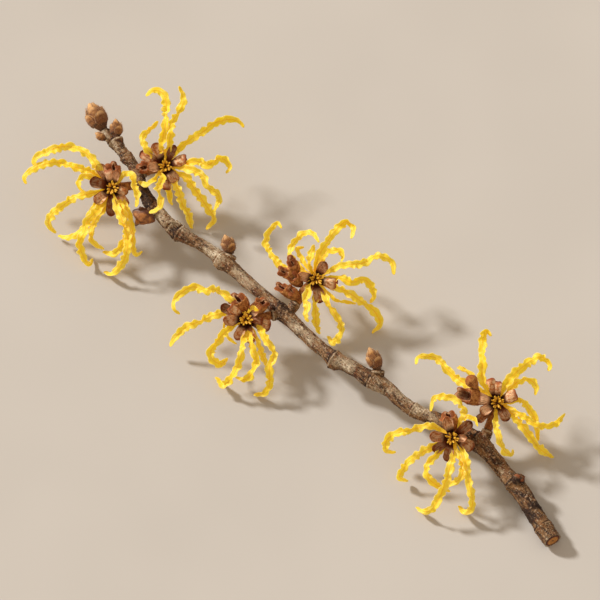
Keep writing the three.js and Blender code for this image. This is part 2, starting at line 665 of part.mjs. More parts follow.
// The room that the root half of a petal needs between its neighbours: a plain strap, `seat` and the
// depth of a crimp larger all round
function petalRoom(head, shape) {
  const curve = petalCurve(head, shape);
  const steps = Math.max(3, Math.round(curve.getLength() / (2 * petalStep)));
  const frames = petalFrames(curve, shape.width, 0, 2 * steps).slice(0, steps + 1);
  const sections = frames.map((frame) => {
    const crimp = petalWave * Math.min(1, 4 * frame.s);
    return strapSection(frame, frame.half + seat, petalThickness / 2 + seat + 0.6 * crimp, 0, 0);
  });
  return strapSolid(frames, sections, seat);
}

// The golden cushion in the throat that a head's petals grow from
function petalHub(head, spare = 0) {
  return pod({
    from: within(head, 0, 0, -0.9 - spare),
    to: within(head, 0, 0, 0.2 + spare),
    face: rightward,
    width: hubWidth + 2 * spare,
    thickness: hubWidth + 2 * spare,
    blunt: 0.4,
    sides: 7,
    rings: 2,
  });
}

function petals(head, seed) {
  const random = randomFrom(seed);
  return largest(joined([petalHub(head), ...head.straps.map((shape) => petal(head, shape, random))]));
}

function roomForPetals(head) {
  return joined([petalHub(head, seat), ...head.straps.map((shape) => petalRoom(head, shape))]);
}

function calyx(head, clearance) {
  const floor = -throatDepth;
  const cup = pod({
    from: within(head, 0, 0, floor - cupDepth),
    to: within(head, 0, 0, floor),
    face: rightward,
    width: 2 * calyxRadius,
    thickness: 2 * calyxRadius,
    blunt: 0.5,
    rings: 3,
  });
  const lobes = head.lobes.map(([right, up, near, width]) => {
    const from = within(head, 0.3 * right, 0.3 * up, floor - 0.7);
    const to = within(head, right, up, near);
    const shape = { bow: 0.4, width, thickness: lobeThickness, blunt: 0.5, skew: 1.5 };
    return pod({ from, to, face: toEye, ...shape, sides: 6, rings: 3 });
  });
  const knobs = head.knobs.map(({ from, to, width }) =>
    pod({
      from: within(head, ...from),
      to: within(head, ...to),
      face: toEye,
      width,
      thickness: width * 0.85,
      blunt: 0.5,
      skew: 1.6,
      sides: 6,
      rings: 3,
    }),
  );
  // The stalk leaves the back of the cup and stops short of the twig's spur
  const back = backOf(head);
  const { tip, inward } = spurOf(head);
  const foot = tip.clone().addScaledVector(inward, seat);
  const places = [back, foot.clone().lerp(back, 0.4), foot];
  const stalk = stem(places, [stalkRadius * 1.5, stalkRadius, stalkRadius], 7);
  return largest(joined([cup, stalk, ...lobes, ...knobs]).subtract(clearance));
}

function stamens(head, seed, clearance) {
  const random = randomFrom(seed);
  const hub = pod({
    from: within(head, 0, 0, 0.5),
    to: within(head, 0, 0, 1.2),
    face: rightward,
    width: 1.9,
    thickness: 1.9,
    sides: 6,
    rings: 1,
  });
  const count = 6;
  const tufts = Array.from({ length: count }, (_, k) => {
    const turn = goldenTurn * k;
    const spread = 0.35 + 1.15 * Math.sqrt((k + 0.3) / count);
    const right = spread * Math.cos(turn);
    const up = spread * Math.sin(turn);
    const foot = 0.75;
    const rise = stamenLength * (0.55 + 0.35 * random()) - 0.4 * spread;
    const from = within(head, 0.3 * right, 0.3 * up, foot);
    const to = within(head, 1.1 * right, 1.1 * up, foot + rise);
    const thickness = 2 * stamenRadius;
    return pod({ from, to, face: rightward, width: thickness, thickness, blunt: 0.45, sides: 3, rings: 2 });
  });
  return largest(joined([hub, ...tufts]).subtract(clearance));
}

const branch = new THREE.Group();
branch.add(meshOf("twig", twig(), bark));
for (const shape of buds) branch.add(meshOf(shape.name, bud(shape), felt));
branch.add(meshOf("tiny_bud", tinyBud(), felt));
branch.add(meshOf("old_cup", oldCup(), felt));
heads.forEach((head, i) => {
  const seed = 11 + i;
  const clearance = roomForPetals(head);
  branch.add(meshOf(`calyx_${i + 1}`, calyx(head, clearance), mauve));
  branch.add(meshOf(`petals_${i + 1}`, petals(head, seed), lemon));
  branch.add(meshOf(`stamens_${i + 1}`, stamens(head, 31 + i, clearance), gold));
});

export default branch;
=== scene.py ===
# A cut twig of witch hazel in flower, lying on a pale surface.
# Lengths are worked out in millimetres and put into the meshes in metres.
import math

import bpy
import numpy as np
from mathutils import Matrix, Vector


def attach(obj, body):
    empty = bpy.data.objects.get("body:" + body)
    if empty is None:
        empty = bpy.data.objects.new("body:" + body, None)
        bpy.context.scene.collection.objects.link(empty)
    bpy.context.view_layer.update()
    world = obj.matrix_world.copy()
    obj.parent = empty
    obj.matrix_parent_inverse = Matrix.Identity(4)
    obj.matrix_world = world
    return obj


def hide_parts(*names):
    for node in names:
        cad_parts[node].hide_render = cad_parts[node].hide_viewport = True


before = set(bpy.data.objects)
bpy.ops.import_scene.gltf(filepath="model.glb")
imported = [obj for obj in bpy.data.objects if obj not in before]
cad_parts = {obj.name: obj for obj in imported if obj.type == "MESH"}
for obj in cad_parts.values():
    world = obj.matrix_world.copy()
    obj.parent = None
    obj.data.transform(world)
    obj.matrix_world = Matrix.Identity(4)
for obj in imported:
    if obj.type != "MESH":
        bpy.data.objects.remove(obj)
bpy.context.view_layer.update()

millimetre = 0.001  # in metres
goldenTurn = 2.4  # radians from one scale or stamen of a spiral to the next

# The layout: to the right, up in the plane that faces the eye, and the height above the surface
layout = {
    "eyeElevation": math.radians(60),
    "branchBearing": math.radians(133.7),
    "boxMiddle": np.array([-11.14, 3.85, 0.0]),
}
bearing, elevation = layout["branchBearing"], layout["eyeElevation"]
upright = np.array([0.0, 0.0, 1.0])
rightward = np.array([math.cos(bearing), -math.sin(bearing), 0.0])
away = np.array([math.sin(bearing), math.cos(bearing), 0.0])
upward = away * math.sin(elevation) + upright * math.cos(elevation)
toEye = upright * math.sin(elevation) - away * math.cos(elevation)


# A place on the branch: right and up as the eye sees them, and the height above the surface
def seen(right, up, height):
    right, up, height = (np.asarray(v, float)[..., None] for v in (right, up, height))
    far = (up - height * math.cos(elevation)) / math.sin(elevation)
    return right * rightward + far * away + height * upright - layout["boxMiddle"]


def unit(vectors):
    return vectors / np.maximum(np.linalg.norm(vectors, axis=-1, keepdims=True), 1e-12)


# 0 below low, 1 above high, and 3t^2 - 2t^3 between them
def ease(x, low, high):
    t = np.clip((x - low) / (high - low), 0, 1)
    return t * t * (3 - 2 * t)


# A hump of height 1 at 0: exp(-(x / width)^2)
def hump(x, width):
    return np.exp(-(x / width) ** 2)


# A row of numbers smoothed over an odd count of neighbours, weighted by a raised cosine
def smoothed(row, count):
    kernel = np.hanning(count) / np.hanning(count).sum()
    return np.convolve(np.pad(row, count // 2, "edge"), kernel, "valid")


# Arrays side by side on a new last axis, each stretched to the shape of all
def beside(*arrays):
    return np.stack(np.broadcast_arrays(*arrays), -1)


# Vectors turned about unit axes by angles: v cos a + (axis x v) sin a + axis (axis . v)(1 - cos a)
def turned(vectors, axes, angles):
    c, s = np.cos(angles)[..., None], np.sin(angles)[..., None]
    along = (axes * vectors).sum(-1, keepdims=True) * axes
    return vectors * c + np.cross(axes, vectors) * s + along * (1 - c)


# Smooth noise from -1 to 1: random values at the corners of a lattice with cells of the given size,
# blended by 6t^5 - 15t^4 + 10t^3 along each axis
def noise(places, size, seed=0):
    place = np.asarray(places, float) / size + 0.37 * seed
    cell = np.floor(place).astype(np.int64)
    t = place - cell
    t = t * t * t * (t * (6 * t - 15) + 10)
    total = np.zeros(place.shape[:-1])
    for corner in np.ndindex(2, 2, 2):
        x, y, z = np.moveaxis(cell + corner, -1, 0)
        mixed = (x * 73856093) ^ (y * 19349663) ^ (z * 83492791) ^ (seed * 40503)
        mixed = ((mixed ^ (mixed >> 13)) * 1274126177) & 0x7FFFFFFF
        mixed = ((mixed ^ (mixed >> 15)) * 668265263) & 0x7FFFFFFF
        weight = np.prod(np.where(corner, t, 1 - t), axis=-1)
        total += weight * ((mixed >> 8 & 0xFFFF) / 32767.5 - 1)
    return total


# Noise with finer and finer copies of itself, each half as strong
def roughness(places, size, octaves=3, seed=0):
    return sum(noise(places, size / 2**k, seed + k) / 2**k for k in range(octaves))


# Rings moved along their spokes by roughness of the given height
def roughened(rings, spokes, height, size, octaves, seed):
    return rings + spokes * (height * roughness(rings, size, octaves, seed))[..., None]


# A centripetal Catmull-Rom curve through the places, at parameters from 0 to 1 that share the spans
# equally
def curveThrough(places, shares):
    places = np.asarray(places, float)
    p = np.vstack([2 * places[0] - places[1], places, 2 * places[-1] - places[-2]])
    at = np.clip(np.asarray(shares) * (len(places) - 1), 0, len(places) - 1)
    span = np.minimum(at.astype(int), len(places) - 2)
    t = (at - span)[:, None]
    p0, p1, p2, p3 = (p[span + k] for k in range(4))
    pairs = (p0, p1), (p1, p2), (p2, p3)
    d0, d1, d2 = (np.sqrt(np.linalg.norm(b - a, axis=1, keepdims=True)) for a, b in pairs)
    v1 = ((p1 - p0) / d0 - (p2 - p0) / (d0 + d1) + (p2 - p1) / d1) * d1
    v2 = ((p2 - p1) / d1 - (p3 - p1) / (d1 + d2) + (p3 - p2) / d2) * d1
    cubic = 2 * p1 - 2 * p2 + v1 + v2
    square = -3 * p1 + 3 * p2 - 2 * v1 - v2
    return p1 + v1 * t + square * t**2 + cubic * t**3


# The lengths from a row's start to each of its places
def lengthsAlong(places):
    return np.concatenate([[0], np.cumsum(np.linalg.norm(np.diff(places, axis=0), axis=1))])


curveSamples = 1600


# The same curve at places equally far apart along it, with its direction there and its length
def evenly(places, count):
    fine = curveThrough(places, np.linspace(0, 1, curveSamples))
    run = lengthsAlong(fine)
    at = np.linspace(0, run[-1], count)
    middle = np.stack([np.interp(at, run, fine[:, k]) for k in range(3)], -1)
    return middle, unit(np.gradient(middle, axis=0)), run[-1]


# Repeatable random numbers from 0 to 1, the same row that the branch's solids are drawn from
def drawsFrom(seed):
    state = seed
    while True:
        state = (state + 0x6D2B79F5) & 0xFFFFFFFF
        mixed = ((state ^ state >> 15) * (1 | state)) & 0xFFFFFFFF
        mixed = (mixed + (mixed ^ mixed >> 7) * (61 | mixed)) & 0xFFFFFFFF ^ mixed
        yield ((mixed ^ mixed >> 14) & 0xFFFFFFFF) / 4294967296


# Meshes. A part is a dictionary of its places, faces, and what its material reads at each place:
# "surface" holds the length along it, the place across it from -1 to 1, and a random tint.


# The cosines and sines of angles once round a ring. Round a blade they are the place across it from
# -1 to 1, and the side of it.
def ringOf(columns):
    angle = np.arange(columns) * 2 * math.pi / columns
    return np.cos(angle), np.sin(angle), angle


# Shares from 0 to 1 that lie closer together at both ends: (1 - cos a) / 2, a from gap to pi - gap
def closeAtEnds(rows, gap=0.1):
    return (1 - np.cos(np.linspace(gap, math.pi - gap, rows))) / 2


# The unit vectors across a blade that runs along and faces the given way, and out of its face
def bladeAxes(along, face):
    across = unit(np.cross(along, face))
    return across, unit(np.cross(across, along))


# Spokes round a stem: level vectors across it times cos a, and vectors up from it times sin a
def spokesRound(along, columns):
    c, s, _ = ringOf(columns)
    across = unit(np.cross(along, upright))
    up = np.cross(across, along)
    return c[:, None] * across[..., None, :] + s[:, None] * up[..., None, :]


# Closed faces over rings of places, then a place at the start and one at the end
def skinFaces(rows, columns):
    i = np.arange(rows - 1)[:, None] * columns
    j = np.arange(columns)[None, :]
    k = (j + 1) % columns
    walls = np.stack([i + j, i + k, i + columns + k, i + columns + j], -1).reshape(-1, 4)
    last = (rows - 1) * columns
    start, end = rows * columns, rows * columns + 1
    j, k = j[0], k[0]
    caps = [(np.full(columns, start), k, j), (np.full(columns, end), last + j, last + k)]
    return walls, np.concatenate([np.stack(cap, -1) for cap in caps])


# A closed skin over rings (rows, columns, 3), turned so that its volume is positive. Unless they are
# given, its end places are the middles of the first ring and of the last, moved on by tip.
def skin(rings, surface, start=None, end=None, tip=0.0, material=0):
    rows, columns = rings.shape[:2]
    start = rings[0].mean(0) if start is None else start
    end = rings[-1].mean(0) + tip if end is None else end
    places = np.concatenate([rings.reshape(-1, 3), start[None], end[None]])
    quads, caps = skinFaces(rows, columns)
    a, b, c, d = (places[quads[:, k]] for k in range(4))
    volume = (np.cross(c - a, d - b) * (a + b + c + d - 4 * places.mean(0))).sum()
    if volume < 0:
        quads, caps = quads[:, ::-1], caps[:, ::-1]
    flat = np.concatenate([surface.reshape(-1, 3), surface[0].mean(0)[None], surface[-1].mean(0)[None]])
    material = np.broadcast_to(material, rows)
    materials = np.repeat(np.concatenate([material[:-1], material[:1], material[-1:]]), columns)
    return {"places": places, "quads": quads, "caps": caps, "surface": flat, "materials": materials}


# One object from several parts: its mesh in metres, smooth shaded, with the surface attribute
def makePiece(name, parts, materials, node):
    starts = np.cumsum([0] + [len(p["places"]) for p in parts])
    places = np.concatenate([p["places"] for p in parts]) * millimetre
    faces = []
    for part, start in zip(parts, starts):
        faces += (part["quads"] + start).tolist() + (part["caps"] + start).tolist()
    mesh = bpy.data.meshes.new(name)
    mesh.from_pydata(places.tolist(), [], faces)
    indices = np.concatenate([p["materials"] for p in parts]).astype(np.int32)
    mesh.polygons.foreach_set("material_index", indices)
    mesh.polygons.foreach_set("use_smooth", np.ones(len(faces), bool))
    attribute = mesh.attributes.new("surface", "FLOAT_VECTOR", "POINT")
    surface = np.concatenate([p["surface"] for p in parts]).astype(np.float32)
    attribute.data.foreach_set("vector", surface.ravel())
    mesh.update()
    piece = bpy.data.objects.new(name, mesh)
    bpy.context.scene.collection.objects.link(piece)
    for material in materials:
        mesh.materials.append(material)
    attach(piece, "root")
    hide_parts(node)
    triangles = sum(len(face) - 2 for face in faces)
    print(f"{name}: {triangles} triangles")
    return piece


# Fine hairs: from each root a three-sided spike follows the surface's normal, leans, and droops
def hairs(roots, normals, lean, length, radius, seed):
    random = np.random.default_rng(seed)
    count = len(roots)
    sideways = unit(np.cross(normals, random.normal(size=(count, 3))))
    half = 0.5 * length * random.uniform(0.6, 1.3, (count, 1))
    first = unit(normals + lean + 0.5 * sideways)
    second = unit(first + 0.9 * (lean + 0.6 * sideways))
    stops = [roots - 0.1 * first, roots + half * first, roots + half * first + half * second]
    other = np.cross(first, sideways)
    rings = []
    for place, wide in zip(stops, [radius, 0.7 * radius]):
        for turn in (0, 2 * math.pi / 3, 4 * math.pi / 3):
            rings.append(place + wide * (math.cos(turn) * sideways + math.sin(turn) * other))
    places = np.stack(rings + [stops[2]], 1).reshape(-1, 3)
    base = np.arange(count)[:, None, None] * 7
    quads = (base + np.array([[0, 1, 4, 3], [1, 2, 5, 4], [2, 0, 3, 5]])).reshape(-1, 4)
    caps = (base + np.array([[3, 4, 6], [4, 5, 6], [5, 3, 6], [2, 1, 0]])).reshape(-1, 3)
    return {"places": places, "quads": quads, "caps": caps, "surface": np.full((len(places), 3), 0.5),
            "materials": np.full(len(quads) + len(caps), 1)}


# A tuft of hairs on a part, rooted at random: more on large faces, and where keep says so
def tuftOn(part, count, rootSeed, lean, length, radius, seed, keep=lambda normals: 1):
    places, quads = part["places"], part["quads"]
    a, b, c, d = (places[quads[:, k]] for k in range(4))
    normals = np.cross(c - a, d - b)
    area = np.linalg.norm(normals, axis=1)
    normals = normals / np.maximum(area, 1e-9)[:, None]
    weight = area * keep(normals)
    random = np.random.default_rng(rootSeed)
    chosen = random.choice(len(quads), count, p=weight / weight.sum())
    mix = random.uniform(0, 1, (count, 1))
    roots = a[chosen] * mix + c[chosen] * (1 - mix)
    return hairs(roots, normals[chosen], lean, length, radius, seed)


# The twig

twigLook = {
    # right, up, height and radius at each station, from the cut end to the growing tip
    "stations": np.array([
        [62.8, -59.8, 2.15, 2.33], [61.1, -57.3, 2.12, 2.3], [58.3, -53, 2.9, 2.15],
        [54.8, -47.5, 3.7, 2.25], [50.8, -42.8, 4.5, 2], [47.5, -38.6, 5.1, 2.05],
        [45, -36, 5.5, 2.3], [40, -32.5, 6.2, 2.1], [33.3, -29.5, 6.8, 1.8], [29.5, -28, 7.1, 1.75],
        [25.5, -25.5, 7.4, 1.75], [22.3, -22.5, 7.6, 1.8], [19.3, -20.6, 7.8, 2.2],
        [15, -18, 7.9, 1.85], [12.3, -16.5, 8, 1.8], [9.3, -15, 8.1, 2], [5.5, -12.3, 8.2, 1.7],
        [1, -8.3, 8.4, 1.7], [-1.8, -5.5, 8.5, 1.85], [-4.3, -3.3, 8.6, 2.05], [-8.5, 0.5, 8.7, 1.6],
        [-12.9, 4.3, 8.8, 1.6], [-16.3, 7.4, 8.9, 1.75], [-18.8, 9.4, 9, 2.05], [-21.8, 11.9, 9.1, 1.6],
        [-25.5, 14.2, 9.2, 1.55], [-29.3, 16.3, 9.3, 1.8], [-32.5, 18.8, 9.4, 1.75],
        [-35, 21.5, 9.5, 1.6], [-38.8, 26.5, 9.6, 1.6], [-40.8, 32, 9.7, 1.5], [-43, 35.3, 9.9, 1.4],
        [-45.5, 38.3, 10.1, 1.4], [-47.6, 40.3, 10.3, 1.2], [-49, 42.3, 10.5, 1.25],
    ]),
    "meanRadius": 1.8,
    # spurs and bumps: from, to, and the radius at each end
    "spurs": [
        ([19.3, -20.2, 7.9], [19.5, -17.6, 9.4], 1.8, 1.6), ([-18.2, 9.1, 9], [-17.3, 11.2, 10], 1.7, 1.5),
        ([-45, 37.6, 10], [-45.8, 40.3, 10.5], 1.3, 1.5), ([54, -46.8, 3.9], [54.5, -44.5, 6.2], 2, 1.6),
    ],
    "resting": 3,  # the spur that ends in a reddish resting bud
    "spurRadius": 1.35,
    # how far a spur's end is domed; how much further, and how much rougher, where a bud rests there
    "dome": 0.35, "budDome": 0.75, "budRoughness": 1.3,
    "rows": 1000, "columns": 60,
    "flakes": 0.07, "ridges": 0.09, "lumps": 0.1, "grit": 0.025,  # heights of the bark's relief
    # rings that bud scales left, at these stations, and bumps: station, angle from the top, size, height
    "scars": [1.2, 3.4, 6.3, 9.3, 12.3, 15.2, 19.2, 23.4, 26.2, 26.8, 28.4, 31.2, 32.6],
    "bumps": [
        [3.6, 0.6, 1.5, 0.5], [6.2, -1.5, 1.3, 0.5], [12.6, 2.2, 1.6, 0.6], [15.1, 2.1, 1.3, 0.8],
        [15.4, 0.9, 1.0, 0.4], [19.3, 2.3, 1.2, 0.5], [23.2, 1.9, 1.3, 0.6], [26.5, -0.4, 1.2, 0.5],
        [26.3, 2.2, 1.1, 0.6], [28.6, 1.8, 1.2, 0.5], [31, 1.6, 0.9, 0.35],
    ],
    "ring": 0.2, "swell": 0.2,  # heights of a ring, and of the swelling below it
    "paintedHeadShadows": [[6.3, 3.0], [19.0, 2.6], [29.0, 5.0]],  # station and length of the painted shadow that the heads cast on the bark
    "lenticels": 150,
    # the cut face's rings: shares of the radius, and how far each stands out; the outer ones are bark
    "cutRings": np.array([0.03, 0.2, 0.4, 0.6, 0.75, 0.84, 0.88, 0.93, 0.98]),
    "cutHeights": np.array([-0.06, 0.05, 0.08, 0.06, 0.03, 0.0, -0.1, -0.05, 0.0]),
    "woodRings": 6,
}
twigPlaces = seen(*twigLook["stations"][:, :3].T)


# The bark's relief at places on the twig: lumps, ridges that run with the grain, and flakes with sharp
# edges, where the noise passes a threshold. grain is the twig's direction there.
def barkRelief(places, grain, distance):
    look = twigLook
    across = places - (places * grain).sum(-1, keepdims=True) * grain
    ridges = roughness(across / 0.62 + beside(distance / 3.2, 0.0, 0.0), 1, 3, seed=3)
    lumps = noise(places, 2.6, seed=5)
    flakes = ease(roughness(places, 1.15, 3, seed=9), 0.12, 0.2) - 0.5
    fine = noise(places, 0.3, seed=13)
    return look["ridges"] * ridges + look["lumps"] * lumps + look["flakes"] * flakes + look["grit"] * fine


# The twig: its radius and relief round its middle line, its pale coating with painted light and shade on it,
# and its cut face
def twigPart():
    look = twigLook
    stations, rows, columns = look["stations"], look["rows"], look["columns"]
    middle, along, length = evenly(twigPlaces, rows)
    run = lengthsAlong(curveThrough(twigPlaces, np.linspace(0, 1, curveSamples)))
    reach = np.linspace(0, length, rows)
    station = np.interp(reach, run, np.linspace(0, len(stations) - 1, curveSamples))
    past = lambda place: reach - np.interp(place, station, reach)  # how far each ring is past a station
    radius = smoothed(np.interp(station, np.arange(len(stations)), stations[:, 3]), 15)
    collar = np.zeros(rows)  # pale above 0, dark below
    for scar in look["scars"]:
        far = past(scar)
        radius = radius + look["swell"] * ease(far, -3, -0.3) * ease(far, 0.9, 0.1)
        radius = radius + look["ring"] * (hump(far, 0.16) - 0.8 * hump(far - 0.4, 0.16))
        collar = collar + hump(far, 0.2) - 1.6 * hump(far - 0.5, 0.3)
    c, s, angle = ringOf(columns)
    out = spokesRound(along, columns)
    distance = np.broadcast_to(reach[:, None], (rows, columns))
    bare = middle[:, None] + radius[:, None, None] * out
    relief = barkRelief(bare, np.broadcast_to(along[:, None], bare.shape), distance)
    for place, turn, size, height in look["bumps"]:
        far = past(place)[:, None]
        wide = (np.angle(np.exp(1j * (angle - math.pi / 2 - turn))) * look["meanRadius"])[None]
        knot = np.exp(-(far / size) ** 2 - (wide / size) ** 2)
        relief = relief + height * knot * (1 - 0.45 * np.exp(-(far**2 + wide**2) / (0.35 * size) ** 2))
        collar = collar - 0.27 * knot.max() * hump(far[:, 0], 0.5 * size)
    # lenticels: low warts at random places
    warts, random = np.zeros((rows, columns)), np.random.default_rng(4)
    for _ in range(look["lenticels"]):
        row, column = random.integers(0, rows), random.integers(0, columns)
        size = random.uniform(0.22, 0.45)
        gap = (np.arange(columns) - column + columns / 2) % columns - columns / 2
        far = ((np.arange(rows) - row) * length / rows)[:, None] / (0.7 * size)
        wide = (gap * 2 * math.pi * look["meanRadius"] / columns)[None] / size
        warts += np.exp(-far**2 - wide**2)
    warts = np.minimum(warts, 1)
    worn = 0.6 + 0.5 * noise(bare, 1.4, seed=37)
    bare = bare + out * (collar[:, None] * look["ring"] * (worn - 1) * 0.7)[..., None]
    bare = bare + out * ((relief - 0.03) * (0.3 + 0.7 * ease(distance, 0, 0.5)) + 0.1 * warts)[..., None]
    bare[..., 2] = np.maximum(bare[..., 2], 0)
    # the crust value: pale above 0, dark below. It is the bark's own pale coating, with painted light on the
    # side facing up and towards the eye and painted shade underneath; it thins out to the cut end, and the
    # heads' shadows are painted on it
    wrapped = beside(look["meanRadius"] * c, look["meanRadius"] * s, distance / 2.6)
    crustAndShading = 1.5 * noise(wrapped, 2.2, seed=31) + noise(wrapped, 0.8, seed=33)
    # painted light: paler where the bark faces up and towards the eye, and painted shade darker underneath
    crustAndShading = crustAndShading + 0.9 * (out @ unit(toEye + upright)) - 0.35 - 0.9 * ease(distance, 46, 8)
    # painted shadow: the bark darkens under the heads
    for place, size in look["paintedHeadShadows"]:
        crustAndShading = crustAndShading - 1.9 * hump(past(place)[:, None], size)
    crustAndShading = np.clip(0.55 * crustAndShading + 0.62 * collar[:, None] * (1 + 0.9 * noise(bare, 0.9, seed=35)), -1, 1)
    # the cut face: rings that shrink to the pith, with the bark's edge a little proud
    shrink = look["cutRings"][:, None, None]
    rim = (bare[0] - middle[0])[None] * shrink
    grit = 0.05 * noise(rim, 0.35, seed=21)
    face = middle[0] + rim - along[0] * (look["cutHeights"][:, None] + grit)[..., None]
    face[..., 2] = np.maximum(face[..., 2], 0)
    faceSurface = beside(0.0, np.repeat(shrink[..., 0], columns, 1), 0.0)
    surface = np.concatenate([faceSurface, beside(distance, crustAndShading, warts)])
    rings = np.concatenate([face, bare])
    wood = (np.arange(len(rings)) < look["woodRings"]).astype(int)
    return skin(rings, surface, end=middle[-1] + 0.5 * along[-1], material=wood)


# A short spur: a stem with bark on it and a rounded end. Where resting is 1, it ends in a dark, rough
# resting bud.
def spurPart(start, end, startRadius, endRadius, resting=0.0, rows=34, columns=36, capRows=7):
    share = np.concatenate([np.linspace(0, 1, rows - capRows), np.ones(capRows)])
    closing = np.concatenate([np.zeros(rows - capRows), np.linspace(0.15, 1.45, capRows)])
    bulge = np.sin(closing)
    dome = twigLook["dome"] + twigLook["budDome"] * resting
    along = unit(end - start)
    out = spokesRound(along, columns)
    radius = (startRadius + (endRadius - startRadius) * share) * np.cos(closing)
    middle = start + (end - start) * share[:, None] + along * (dome * bulge)[:, None]
    rings = middle[:, None] + radius[:, None, None] * out
    distance = np.broadcast_to((share * 2)[:, None], rings.shape[:2])
    relief = barkRelief(rings, np.broadcast_to(along, rings.shape), distance)
    relief = relief * (1 + twigLook["budRoughness"] * resting)
    rings = rings + out * (relief + 0.08 * np.sin(9 * share)[:, None])[..., None]
    rings[..., 2] = np.maximum(rings[..., 2], 0)
    gap = np.linalg.norm(end - start) * (1 - share)
    collar = 0.9 * hump(gap - 0.25, 0.2) - 0.4 * hump(gap - 0.8, 0.4) - 0.9 * (bulge > 0.3)
    # painted shade: where resting is 1, the bark darkens towards the bud at the spur's end
    collar = (1 - resting) * collar - resting * ease(gap, 1.6, 0.2) * (bulge < 0.2)
    bud = resting * (bulge > 0.1)[:, None]
    dark = bud * ease(noise(rings, 0.75, seed=43), -0.15, 0.55)
    red = 0.8 * dark - bud * (0.75 + 0.5 * noise(rings, 0.8, seed=41))
    return skin(rings, beside(distance, collar[:, None] - dark, red), tip=0.02 * along)


